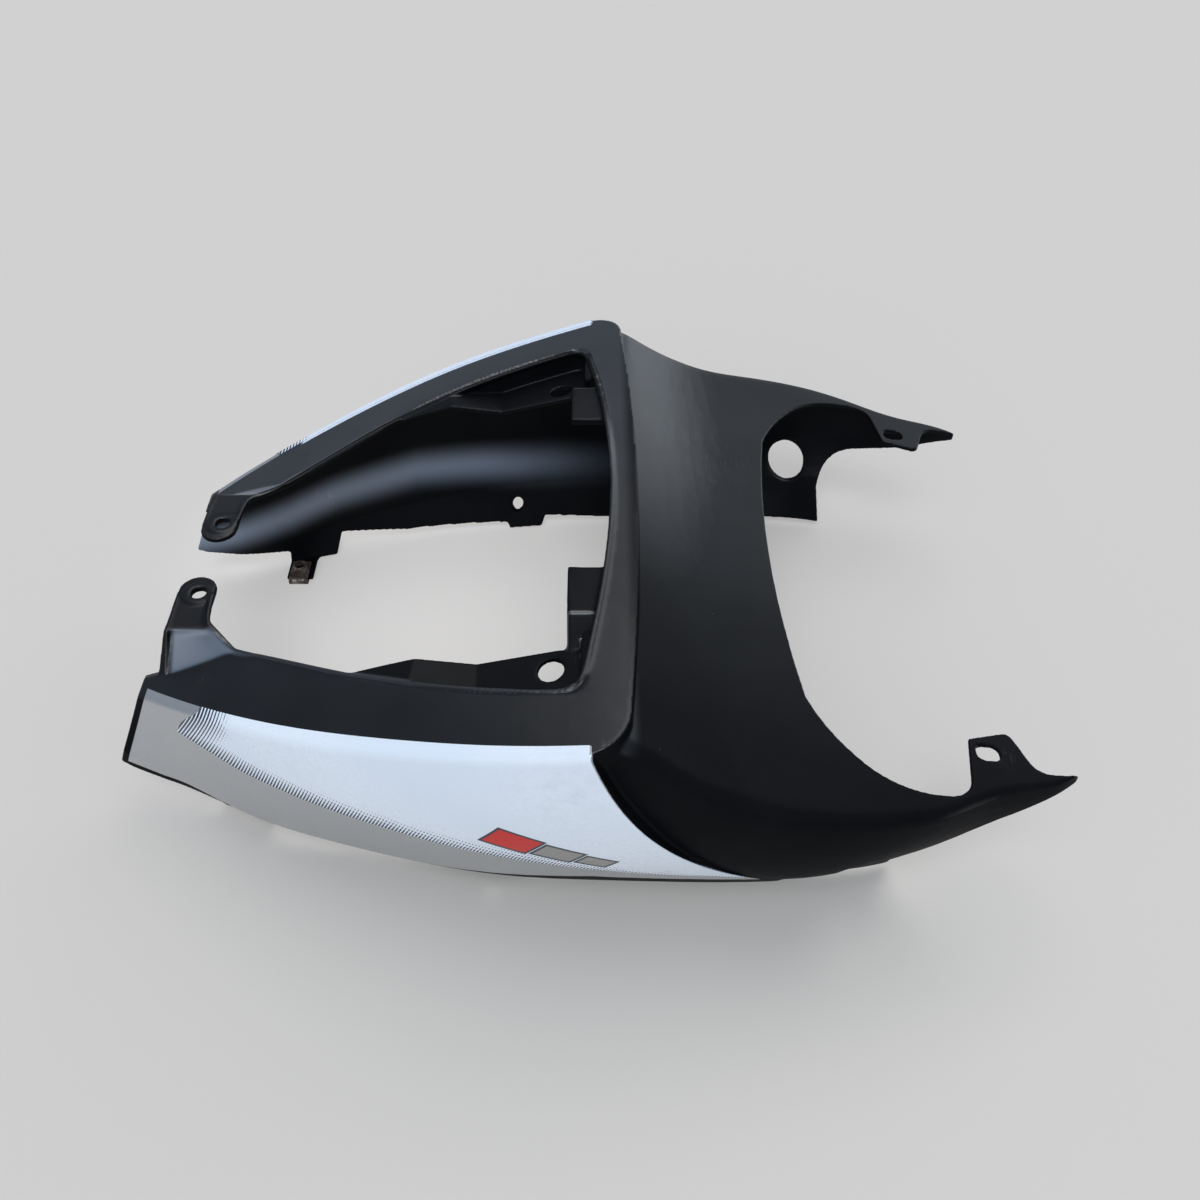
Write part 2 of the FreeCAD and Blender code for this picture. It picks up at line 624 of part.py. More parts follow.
for side, name in ((-1, "left"), (1, "right")):
    across = as_size(side)
    sketch = sketch_in(shell, f"ear_plan_{name}", "XY_Plane", ear_under)
    draw(sketch, [
        (ear_front_x, across * (ear_bend_half + wall)),
        (ear_front_x, across * ear_round_half, across * ear_round),
        (ear_front_x + ear_width / 2, across * (ear_round_half - ear_round), across * ear_round),
        (ear_front_x + ear_width, across * ear_round_half),
        (ear_front_x + ear_width, across * ear_back_half),
        (ear_back_x, across * ear_bend_half),
        (ear_back_x, across * (ear_bend_half + wall)),
    ])
    pad(shell, f"ear_{name}", sketch, wall)
    bend = sketch_in(shell, f"ramp_top_{name}", "XZ_Plane", -(across * ear_bend_half))
    draw(bend, [
        (ear_front_x - ear_lip_start, ear_under - ear_lip_drop),
        (ear_front_x, ear_under - wall / 2),
        (ear_back_x, ear_under),
        (ear_back_x, ear_top),
        (ear_front_x, ear_top),
        (ear_front_x - ear_lip_start, ear_top - ear_lip_drop),
    ])
    foot = sketch_in(shell, f"ramp_foot_{name}", "XZ_Plane", -(across * ramp_foot_half))
    draw(foot, [
        (ramp_front_x - ear_lip_reach, ear_under - ramp_front_drop - ear_lip_drop),
        (ramp_front_x, ear_under - ramp_front_drop - wall / 2),
        (ramp_back_x, ear_under - ramp_back_drop),
        (ramp_back_x, ear_top - ramp_back_drop),
        (ramp_front_x, ear_top - ramp_front_drop),
        (ramp_front_x - ear_lip_reach, ear_top - ramp_front_drop - ear_lip_drop),
    ])
    ramp = shell.newObject("PartDesign::AdditiveLoft", f"ramp_{name}")
    ramp.Profile = bend
    ramp.Sections = [foot]
    ramp.Ruled = True
    ramp.Refine = False
    sketch = sketch_in(shell, f"ring_plan_{name}", "XY_Plane", ear_top - wall / 2)
    circle(sketch, ear_hole_x, across * ear_hole_half, ear_ring_r)
    pad(shell, f"ear_ring_{name}", sketch, wall / 2 + ear_ring_rise)

    sketch = sketch_in(shell, f"clip_plan_{name}", "XY_Plane", clip_tab_under)
    draw(sketch, [
        (hem["clip_foot"][0], across * clip_tab_half),
        (hem["clip_end"][0], across * clip_tab_half),
        (hem["clip_end"][0], across * (saddle["ear"]["skirt_half"] + clip_tab_flare)),
        (hem["clip_foot"][0], across * (saddle["ear"]["skirt_half"] - clip_tab_sink)),
    ])
    pad(shell, f"clip_tab_{name}", sketch, clip_tab_wall)

    sketch = sketch_in(shell, f"catch_section_{name}", "YZ_Plane", catch_front_x)
    draw(sketch, [
        (across * catch_inner_half, catch_top),
        (across * catch_inner_half, catch_top - catch_wall),
        (across * (catch_outer_half - catch_wall), catch_top - catch_wall),
        (across * (catch_leg_half - wall), leg_foot),
        (across * (catch_leg_half + wall / 2), leg_foot),
        (across * (catch_leg_half + wall / 2), tray_back_height - wall / 2),
        (across * catch_outer_half, catch_top),
    ])
    pad(shell, f"catch_{name}", sketch, catch_back_x - catch_front_x)

sketch = sketch_in(shell, "upright_holes", "XY_Plane", roof)
for side in (-1, 1):
    across = as_size(side)
    circle(sketch, ear_hole_x, across * ear_hole_half, ear_hole_r)
    circle(sketch, tray_hole_x, across * tray_hole_half, tray_hole_r)
    rounded_slot(sketch, slot_x, across * slot_half)
pocket(shell, "upright_holes_cut", sketch)

sketch = sketch_in(shell, "clip_holes", "XY_Plane", clip_tab_under + clip_tab_wall * 2)
for side in (-1, 1):
    circle(sketch, clip_hole_x, clip_hole_half * side, clip_hole_r)
pocket(shell, "clip_holes_cut", sketch, clip_tab_wall * 3)

sketch = sketch_in(shell, "side_holes", "XZ_Plane")
circle(sketch, side_hole_x, side_hole_height, side_hole_r)
circle(sketch, lamp_hole_x, lamp_hole_height, lamp_hole_r)
pocket(shell, "side_holes_cut", sketch)

# A spring clip nut on each tab: a folded strip with a threaded collar on its upper leaf
nut_sheet = size("nut_sheet", 0.8)
nut_width = size("nut_width", 10.0)
nut_clearance = size("nut_clearance", 1.6)
nut_leaf = size("nut_leaf", 13.1)
nut_collar_r = size("nut_collar_radius", 3.6)
nut_thread_r = size("nut_thread_radius", 2.5)
nut_collar_rise = size("nut_collar_rise", 2.4)
nut_bend_half = clip_tab_half - nut_clearance
nut_end_half = nut_bend_half + nut_leaf
nut_inner = clip_tab_wall / 2
nut_outer = nut_inner + nut_sheet
leaf_under = clip_tab_under - nut_sheet
tab_top = clip_tab_under + clip_tab_wall
exports = {"cowl_shell": shell}
for side, name in ((-1, "left"), (1, "right")):
    across = as_size(side)
    nut = doc.addObject("PartDesign::Body", f"clip_nut_{name}")
    sketch = sketch_in(nut, f"nut_section_{name}", "YZ_Plane", clip_hole_x - nut_width / 2)
    draw(sketch, [
        (across * nut_end_half, leaf_under),
        (across * nut_bend_half, leaf_under, -(across * nut_outer)),
        (across * (nut_bend_half - nut_outer), clip_tab_under + nut_inner, -(across * nut_outer)),
        (across * nut_bend_half, tab_top + nut_sheet),
        (across * nut_end_half, tab_top + nut_sheet),
        (across * nut_end_half, tab_top),
        (across * nut_bend_half, tab_top, across * nut_inner),
        (across * (nut_bend_half - nut_inner), clip_tab_under + nut_inner, across * nut_inner),
        (across * nut_bend_half, clip_tab_under),
        (across * nut_end_half, clip_tab_under),
    ])
    pad(nut, f"nut_strip_{name}", sketch, nut_width)
    sketch = sketch_in(nut, f"collar_plan_{name}", "XY_Plane", tab_top + nut_sheet / 2)
    circle(sketch, clip_hole_x, across * clip_hole_half, nut_collar_r)
    pad(nut, f"nut_collar_{name}", sketch, nut_sheet / 2 + nut_collar_rise)
    sketch = sketch_in(nut, f"thread_plan_{name}", "XY_Plane", roof)
    circle(sketch, clip_hole_x, across * clip_hole_half, nut_thread_r)
    pocket(nut, f"nut_thread_{name}", sketch)
    exports[f"clip_nut_{name}"] = nut

# The self-adhesive film on each side panel, from the paint line over the crease to its lower border
film_gap = size("film_gap", 0.05)
film_wall = size("film_wall", 0.25)
film_front_x = size("film_front_x", -146.0)
film_front_height = size("film_front_height", 74.0)
film_front_arc = size("film_front_arc", 32.0)
film_toe_x = size("film_toe_x", -163.0)
film_toe_height = size("film_toe_height", 55.5)
film_dip_x = size("film_dip_x", -133.0)
film_dip_height = size("film_dip_height", 52.5)
film_waist_x = size("film_waist_x", -71.0)
film_waist_height = size("film_waist_height", 53.7)
film_tail_x = size("film_tail_x", 35.0)
film_tail_height = size("film_tail_height", 39.0)
film_border_arc = size("film_border_arc", 681.0)
film_back = size("film_back", 0.8)
paint_front_x = size("paint_front_x", -170.0)
paint_front_half = size("paint_front_half", 69.5)
paint_back_half = size("paint_back_half", 135.6)
paint_arc = size("paint_arc", 430.0)
film_over = form("film_over", saddle, -(film_gap + film_wall), hem_reach)
film_under = form("film_under", saddle, -film_gap, hem_reach)
film_skin = cut("film_skin", film_over, film_under)
film_side = [
    (film_front_x, roof),
    (film_front_x, film_front_height, film_front_arc),
    (film_toe_x, film_toe_height),
    (film_dip_x, film_dip_height),
    (film_waist_x, film_waist_height, -film_border_arc),
    (film_tail_x, film_tail_height),
    (step_foot_x - film_back, step_foot_height + film_back * 2, -step_arc),
    (step_x - film_back, step_height),
    (step_x - film_back, roof),
]
for side, name in ((-1, "left"), (1, "right")):
    across = as_size(side)
    beside = prism(f"film_side_{name}", film_side, zero if side > 0 else -outside,
                   outside if side > 0 else zero, upright=True)
    over = prism(f"film_plan_{name}", [
        (paint_front_x, across * paint_front_half, -(across * paint_arc)),
        (step_x, across * paint_back_half),
        (back_end, across * paint_back_half),
        (back_end, across * outside),
        (paint_front_x, across * outside),
    ], zero, roof)
    exports[f"side_film_{name}"] = common(f"side_film_{name}", film_skin, beside, over)

# Every object has to be sound before the files are written.
doc.recompute()
for item in doc.Objects:
    if "Invalid" in item.State or "Error" in item.State:
        raise RuntimeError(f"{item.Name} did not compute: {item.State}")
os.makedirs("parts", exist_ok=True)
for name, item in exports.items():
    item.Label = name
    if item.Shape.isNull() or not item.Shape.isValid():
        raise RuntimeError(f"{name} has no sound shape")
    item.Shape.exportStep(f"parts/{name}.step")
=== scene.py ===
import logging
import math
import operator
from dataclasses import dataclass, field
from enum import Enum
from functools import reduce
from typing import Any, Mapping, Sequence, Union

import bmesh
import bpy
import numpy as np
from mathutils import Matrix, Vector


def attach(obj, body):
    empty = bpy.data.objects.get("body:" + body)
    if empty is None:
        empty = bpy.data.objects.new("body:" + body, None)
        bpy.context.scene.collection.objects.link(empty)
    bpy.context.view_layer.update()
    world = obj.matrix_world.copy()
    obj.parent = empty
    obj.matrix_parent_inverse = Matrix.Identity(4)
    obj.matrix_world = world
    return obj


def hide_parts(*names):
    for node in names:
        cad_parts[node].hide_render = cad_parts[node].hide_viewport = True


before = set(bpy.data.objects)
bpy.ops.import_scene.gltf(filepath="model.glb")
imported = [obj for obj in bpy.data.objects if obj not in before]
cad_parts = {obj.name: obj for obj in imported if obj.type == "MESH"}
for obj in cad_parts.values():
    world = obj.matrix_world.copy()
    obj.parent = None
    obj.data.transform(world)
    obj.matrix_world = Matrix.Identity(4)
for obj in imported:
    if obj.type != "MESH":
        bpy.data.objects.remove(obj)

# The looks of a motorcycle tail fairing, around its solids. X runs from the front to the tail, Y to the
# rider's right and Z up. Sizes are millimetres unless a name says otherwise, and meshes are metres.

MM = 0.001
PER_METRE = 1000.0
Pair = tuple[float, float]
Spot = tuple[float, float, float]
Colour = tuple[float, float, float]
Line = tuple[Pair, ...]
Number = Union["Field", float]
Options = Mapping[Any, Any] | None

log = logging.getLogger("tail_fairing")


class Side(Enum):
    """The rider's side that a piece is on, with the sign of its Y."""

    LEFT = -1
    RIGHT = 1


class Field:
    """A shader socket that can stand in an expression."""

    def __init__(self, graph: "Graph", socket: bpy.types.NodeSocket) -> None:
        """Wraps an output socket of a material's graph."""
        self.graph = graph
        self.socket = socket

    def __add__(self, other: Number) -> "Field":
        """Adds a value."""
        return self.graph.math("ADD", self, other)

    def __radd__(self, other: Number) -> "Field":
        """Adds this to a value."""
        return self.graph.math("ADD", other, self)

    def __sub__(self, other: Number) -> "Field":
        """Takes a value away."""
        return self.graph.math("SUBTRACT", self, other)

    def __rsub__(self, other: Number) -> "Field":
        """Takes this away from a value."""
        return self.graph.math("SUBTRACT", other, self)

    def __mul__(self, other: Number) -> "Field":
        """Multiplies by a value."""
        return self.graph.math("MULTIPLY", self, other)

    def __rmul__(self, other: Number) -> "Field":
        """Multiplies a value by this."""
        return self.graph.math("MULTIPLY", other, self)

    def __truediv__(self, other: Number) -> "Field":
        """Divides by a value."""
        return self.graph.math("DIVIDE", self, other)

    def __rtruediv__(self, other: Number) -> "Field":
        """Divides a value by this."""
        return self.graph.math("DIVIDE", other, self)

    def __pow__(self, other: Number) -> "Field":
        """Raises to a power."""
        return self.graph.math("POWER", self, other)

    def __abs__(self) -> "Field":
        """The size without its sign."""
        return self.graph.math("ABSOLUTE", self)

    def __and__(self, other: Number) -> "Field":
        """A mask that holds where both masks hold."""
        return self.graph.math("MULTIPLY", self, other)

    def __or__(self, other: Number) -> "Field":
        """A mask that holds where either mask holds."""
        return self.graph.math("MAXIMUM", self, other)

    def __invert__(self) -> "Field":
        """A mask that holds where this one doesn't."""
        return self.graph.math("SUBTRACT", 1.0, self)

    def above(self, limit: Number, soft: float) -> "Field":
        """A mask of where this is over a limit, softened over a distance on both sides of it."""
        return (self - limit).ramp(-soft, soft)

    def below(self, limit: Number, soft: float) -> "Field":
        """A mask of where this is under a limit, softened over a distance on both sides of it."""
        return (self - limit).ramp(soft, -soft)

    def ramp(self, start: float, end: float, low: float = 0.0, high: float = 1.0) -> "Field":
        """Goes smoothly from one value to another.

        Args:
            start: where it leaves the low value.
            end: where it reaches the high value.
            low: the value before the start.
            high: the value after the end.

        Returns:
            The smooth ramp.
        """
        mapped = {"Value": self, "From Min": start, "From Max": end, "To Min": low, "To Max": high}
        if start > end:
            mapped.update({"From Min": end, "From Max": start, "To Min": high, "To Max": low})
        return self.graph.field("ShaderNodeMapRange", {"interpolation_type": "SMOOTHSTEP"}, mapped)

    def least(self, other: Number) -> "Field":
        """The lower of the two."""
        return self.graph.math("MINIMUM", self, other)

    def most(self, other: Number) -> "Field":
        """The higher of the two."""
        return self.graph.math("MAXIMUM", self, other)

    def reach(self, other: "Field") -> "Field":
        """The length of a line that runs this far one way and the other number across it."""
        return self.graph.math("SQRT", self ** 2 + other ** 2)

    def wave(self, period: float) -> "Field":
        """A smooth wave from 0 to 1, with its crest at each whole period."""
        return self.graph.math("COSINE", self * (2 * math.pi / period)) * 0.5 + 0.5


class Graph:
    """The nodes of one material."""

    def __init__(self, name: str) -> None:
        """Starts a material with one surface shader.

        Args:
            name: the material's name.
        """
        self.material = bpy.data.materials.new(name)
        self.material.use_nodes = True
        self.tree = self.material.node_tree
        self.tree.nodes.clear()
        self.shader = self.node("ShaderNodeBsdfPrincipled")
        output = self.node("ShaderNodeOutputMaterial")
        self.tree.links.new(self.shader.outputs["BSDF"], output.inputs["Surface"])

    def node(self, kind: str, settings: Options = None, inputs: Options = None) -> bpy.types.Node:
        """Adds a node.

        Args:
            kind: the node's type.
            settings: its own settings, such as a Math node's operation, which are made first.
            inputs: a value or a field for each socket, by name or number.

        Returns:
            The node.
        """
        made = self.tree.nodes.new(kind)
        for name, value in (settings or {}).items():
            setattr(made, name, value)
        for key, value in (inputs or {}).items():
            self.feed(made.inputs[key], value)
        return made

    def feed(self, socket: bpy.types.NodeSocket, value: Any) -> None:
        """Links a field to a socket, or sets the socket's own value.

        Args:
            socket: the input socket.
            value: a field, a number, a vector or a colour.
        """
        if isinstance(value, Field):
            self.tree.links.new(value.socket, socket)
        elif socket.type == "RGBA":
            socket.default_value = (*value, 1.0)
        else:
            socket.default_value = value

    def field(
        self, kind: str, settings: Options = None, inputs: Options = None, output: int | str = 0,
    ) -> Field:
        """Adds a node, as node does, and gives one of its outputs by name or number."""
        return Field(self, self.node(kind, settings, inputs).outputs[output])

    def math(self, operation: str, *values: Number) -> Field:
        """Adds a Math node on one to three values."""
        return self.field("ShaderNodeMath", {"operation": operation}, dict(enumerate(values)))

    def mix(self, share: Number, first: Any, second: Any) -> Field:
        """Mixes two colours or fields of colour, by the share of the second one."""
        return self.field("ShaderNodeMix", {"data_type": "RGBA"}, {0: share, 6: first, 7: second}, 2)

    def noise(self, place: Field, size: float, detail: float = 3.0, seed: float = 0.0) -> Field:
        """Soft noise from 0 to 1 with lumps of a size, finer layers and a seed, read at metres."""
        inputs = {"Vector": place, "W": seed, "Scale": PER_METRE / size, "Detail": detail}
        return self.field("ShaderNodeTexNoise", {"noise_dimensions": "4D"}, inputs)

    def specks(self, place: Field, spacing: float, radius: float) -> Field:
        """Small round specks of a radius, scattered at a spacing, as a mask, read at metres."""
        reach = self.field("ShaderNodeTexVoronoi", None, {"Vector": place, "Scale": PER_METRE / spacing})
        return reach.below(radius / spacing, radius / spacing * 0.3)

    def bump(self, height: Field, depth: float) -> Field:
        """A relief for the shader's Normal socket, of heights from 0 to 1 and the depth of 1."""
        return self.field("ShaderNodeBump", inputs={"Distance": depth * MM, "Height": height})

    def finish(self, sockets: Mapping[str, Any]) -> bpy.types.Material:
        """Feeds the surface shader.

        Args:
            sockets: a value or field for each of its sockets, by name.

        Returns:
            The finished material.
        """
        for name, value in sockets.items():
            self.feed(self.shader.inputs[name], value)
        return self.material


class Place:
    """Where a point of the surface lies and which way it faces."""

    def __init__(self, graph: Graph) -> None:
        """Reads the coordinates.

        Args:
            graph: the material's graph.
        """
        coordinates = graph.node("ShaderNodeTexCoord")
        self.graph = graph
        self.spot = Field(graph, coordinates.outputs["Object"])
        facing = Field(graph, coordinates.outputs["Normal"])
        self.x, self.y, self.z = (axis * PER_METRE for axis in self.split(self.spot))
        self.facing_x, facing_y, self.facing_z = self.split(facing)
        self.half = abs(self.y)
        self.outwards = facing_y * graph.math("SIGN", self.y)

    def split(self, vector: Field) -> list[Field]:
        """The three numbers of a vector."""
        node = self.graph.node("ShaderNodeSeparateXYZ", inputs={0: vector})
        return [Field(self.graph, socket) for socket in node.outputs]

    def profile(self, points: Sequence[Pair]) -> Number:
        """A height or width that follows straight lines between points along the length.

        Args:
            points: the points, each an x with its value, from front to tail.

        Returns:
            The value at this place.
        """
        value: Number = points[0][1]
        for (start, low), (end, high) in zip(points, points[1:]):
            value = (self.x - start).most(0.0).least(end - start) * ((high - low) / (end - start)) + value
        return value

    def near(self, spot: Sequence[float], radius: float) -> Field:
        """A soft ball about a point, a mask that is 1 there and has faded out at the radius."""
        squares = (self.x - spot[0]) ** 2 + (self.y - spot[1]) ** 2 + (self.z - spot[2]) ** 2
        return self.graph.math("SQRT", squares).ramp(radius, 0.0)


def arc_centre(start: Sequence[float], end: Sequence[float], radius: float) -> Pair:
    """The centre of an arc that bulges to the left of its chord.

    Args:
        start: the arc's first end.
        end: its last end.
        radius: its radius. Below zero, the arc bulges to the right.

    Returns:
        The centre's two coordinates.
    """
    across = (end[0] - start[0], end[1] - start[1])
    chord = math.hypot(*across)
    rise = math.copysign(math.sqrt(radius * radius - chord * chord / 4), radius) / chord
    return ((start[0] + end[0]) / 2 + across[1] * rise, (start[1] + end[1]) / 2 - across[0] * rise)


@dataclass(frozen=True)
class PaintedPanel:
    """The field of paint on each side wall: its border seen from above, and its end at the step."""

    front: Pair = (-170.0, 69.5)
    back: Pair = (9.0, 135.6)
    radius: float = 430.0
    step_top: Pair = (9.0, 115.0)
    step_foot: Pair = (70.0, 34.0)
    step_radius: float = -182.0
    foot_slope: float = 1.6
    front_end: Pair = (-200.0, 20.0)
    front_slope: float = 0.437
    front_margin: float = 3.2
    low_border: Line = (
        (-200.0, 23.5), (-180.0, 16.5), (-155.0, 13.0), (-125.0, 15.0), (25.0, 18.8),
    )
    edge: float = 0.15
    low_edge: float = 0.2
    facing: float = 0.36
    facing_soft: float = 0.1
    rearward: float = 0.5
    wrap: float = 1.7
    wrap_ends: Pair = (-138.0, 8.0)
    wrap_facing: float = 0.5
    wrap_top: float = 60.0

    def mask(self, place: Place) -> Field:
        """Where the paint is.

        Args:
            place: the surface's coordinates.

        Returns:
            A mask of the painted field.
        """
        outside = self.beyond(place).above(0.0, self.edge)
        centre = arc_centre(self.step_top, self.step_foot, self.step_radius)
        ahead = (place.x - centre[0]).reach(place.z - centre[1]).above(-self.step_radius, self.edge)
        foot = place.x + place.z.least(self.step_foot[1]) * self.foot_slope
        ahead = ahead & foot.below(self.step_foot[0] + self.step_foot[1] * self.foot_slope, self.edge)
        outer = (place.outwards + place.facing_z).above(self.facing, self.facing_soft)
        end = place.x - (place.z - self.front_end[1]) * self.front_slope - self.front_end[0]
        above = (place.z - place.profile(self.low_border)).above(0.0, self.low_edge)
        margins = end.above(self.front_margin, self.edge) & above
        return outside & ahead & outer & margins & place.facing_x.below(self.rearward, self.facing_soft)

    def beyond(self, place: Place) -> Field:
        """How far a point is outside the panel's upper border, seen from above."""
        centre = arc_centre(self.front, self.back, self.radius)
        return (place.x.least(self.back[0]) - centre[0]).reach(place.half - centre[1]) - self.radius

    def wrapped(self, place: Place) -> Field:
        """Where the right side's film laps over the shoulder.

        Args:
            place: the surface's coordinates.

        Returns:
            A mask of the narrow lap.
        """
        band = self.beyond(place).above(-self.wrap, self.edge) & place.y.above(0.0, 1.0)
        ends = place.x.above(self.wrap_ends[0], 1.0) & place.x.below(self.wrap_ends[1], 0.5)
        return band & ends & place.facing_z.above(self.wrap_facing, 0.2) & place.z.above(self.wrap_top, 1.0)


@dataclass(frozen=True)
class Scuff:
    """A patch of fine pale scratches."""

    spot: Spot
    radius: float
    strength: float


@dataclass(frozen=True)
class RubbedRing:
    """A faint round mark on a flat face."""

    spot: Pair
    radius: float
    strength: float
    line: float = 0.7
    disc: float = 0.6
    facing: float = 0.8

    def mask(self, place: Place) -> Field:
        """Where the mark is.

        Args:
            place: the surface's coordinates.

        Returns:
            A mask of the ring and a fainter disc inside it.
        """
        reach = (place.x - self.spot[0]).reach(place.y - self.spot[1])
        ring = abs(reach - self.radius).ramp(self.line, 0.0) | reach.below(self.radius, self.line) * self.disc
        return ring * self.strength * place.facing_z.above(self.facing, 0.1)


@dataclass(frozen=True)
class Sheen:
    """How much of a glossy skin each part of the moulding shows, and where a streak of reflection is painted
    on the inner walls.
    """

    near_top: float = 0.42
    far_top: float = 1.0
    top_fade: Pair = (-70.0, 90.0)
    top_start: float = 50.0
    near_tail: float = 0.03
    far_tail: float = 0.2
    tail_fade: Pair = (-130.0, 40.0)
    up: Pair = (0.45, 0.9)
    outside: float = 0.025
    sunk: float = 0.16
    inside: float = 0.3
    lip: float = 0.9
    far_lip: float = 0.15
    lip_half: float = 1.5
    valley: float = 0.85
    valley_run: Pair = (24.0, 96.0)
    lamp_edge: float = 0.9
    lamp_start: float = 90.0
    catch: float = 1.0
    catch_spot: Pair = (5.0, 84.0)
    ear: float = 1.0
    ear_top: float = 0.5
    ear_run: Pair = (-169.0, -126.0)
    ear_tongue: float = -152.0
    ear_half: Pair = (44.0, 60.0)
    # The painted streak of reflection on the inner walls follows this line of heights.
    painted_streak_line: Line = (
        (-190.0, 26.0), (-153.0, 29.0), (-131.0, 33.0), (-88.0, 36.0), (-35.0, 31.0), (13.0, 29.0),
    )
    painted_streak_reach: float = 17.0
    bow: Pair = (17.5, 988.0)
    lip_line: Line = (
        (-150.0, 47.0), (-139.7, 55.2), (-95.0, 79.8), (-60.0, 94.4), (-30.0, 103.4), (-4.0, 109.6),
    )

    def weight(self, place: Place) -> Field:
        """The share of the glossy skin.

        Args:
            place: the surface's coordinates.

        Returns:
            The share, from 0 to 1.
        """
        up = place.facing_z.ramp(*self.up)
        front = place.x.below(self.valley_run[0], 3.0)
        rim = self.along_lip(place)
        tail = place.y.ramp(*self.tail_fade, self.near_tail, self.far_tail) * ~front
        share = up * (self.top(place, rim) * front + tail) + ~up * self.outside
        near_rim = rim & place.x.below(-1.0, 2.0) & place.y.ramp(60.0, -60.0)
        for part, level in (
            (self.painted_streak(place), self.inside),
            (self.ear_ramp(place), self.ear),
            (self.catch_bend(place), self.catch),
            (self.valley_slope(place), self.valley),
            (self.lamp_rim(place), self.lamp_edge),
            (near_rim, self.lip),
        ):
            share = share | part * level
        return share

    def top(self, place: Place, rim: Field) -> Field:
        """The share on the upward faces round the seat opening.

        Args:
            place: the surface's coordinates.
            rim: a mask of the bead round the opening.

        Returns:
            The share, less on the sunk flanges, the ears' tongues and the far side's bead.
        """
        share = place.y.ramp(*self.top_fade, self.near_top, self.far_top)
        flange = (place.half - place.profile(self.lip_line)).below(-1.8, 0.6)
        flange = flange & self.behind_bow(place).below(-self.lip_half, 0.3)
        flange = flange & place.x.above(self.ear_run[1], 4.0)
        tongue = place.x.below(self.ear_tongue, 4.0) & place.half.below(self.ear_half[0], 1.5)
        far_rim = rim & place.y.ramp(20.0, 60.0)
        for part, kept in ((flange, self.sunk), (tongue, self.ear_top), (far_rim, self.far_lip)):
            share = share * (1.0 - part * (1.0 - kept))
        return share & place.z.above(self.top_start, 4.0)

    def painted_streak(self, place: Place) -> Field:
        """Where a painted streak of reflection lies on the inner faces of the side walls, which also get
        extra gloss there.
        """
        inner = place.outwards.below(-0.55, 0.3) & place.x.ramp(60.0, -60.0)
        return inner & abs(place.z - place.profile(self.painted_streak_line)).ramp(self.painted_streak_reach, 0.0)

    def ear_ramp(self, place: Place) -> Field:
        """Where the slope behind each ear is, which gets extra gloss and a painted highlight.

        Args:
            place: the surface's coordinates.

        Returns:
            A mask of the slopes.
        """
        run = place.x.below(self.ear_run[1], 8.0) & place.x.above(self.ear_run[0], 1.6)
        across = place.half.above(self.ear_half[0], 2.5) & place.half.below(self.ear_half[1], 2.0)
        return run & across & place.outwards.above(0.3, 0.2)

    def catch_bend(self, place: Place) -> Field:
        """Where the seat-catch plates bend down."""
        plate = abs(place.x - self.catch_spot[0]).below(12.0, 1.0) & place.half.below(self.catch_spot[1], 1.0)
        return plate & place.outwards.above(0.16, 0.1) & place.outwards.below(0.56, 0.1)

    def valley_slope(self, place: Place) -> Field:
        """Where the deck slopes down behind the bridge, more so on the far side."""
        slope = place.facing_x.ramp(0.02, 0.85) & place.facing_z.above(0.2, 0.1) & place.y.ramp(-90.0, 90.0)
        return slope & place.x.above(self.valley_run[0], 4.0) & place.x.below(self.valley_run[1], 6.0)

    def lamp_rim(self, place: Place) -> Field:
        """Where the deck turns down at the lamp's opening."""
        slope = place.facing_x.ramp(0.3, 0.8) & place.facing_z.above(0.2, 0.1)
        return slope & place.x.above(self.lamp_start, 2.0)

    def behind_bow(self, place: Place) -> Field:
        """How far a point is behind the bridge's bowed front rim."""
        return place.x - self.bow[0] + place.half ** 2 / self.bow[1]

    def along_lip(self, place: Place) -> Field:
        """Where the bead round the seat opening is.

        Args:
            place: the surface's coordinates.

        Returns:
            A mask of the bead.
        """
        beside = abs(place.half - place.profile(self.lip_line)).below(self.lip_half, 0.3)
        beside = beside & place.x.below(0.0, 2.0) & place.x.above(-152.0, 2.0)
        across = abs(self.behind_bow(place)).below(self.lip_half, 0.3) & place.half.below(106.0, 2.0)
        return (beside | across) & place.z.above(70.0, 1.0)


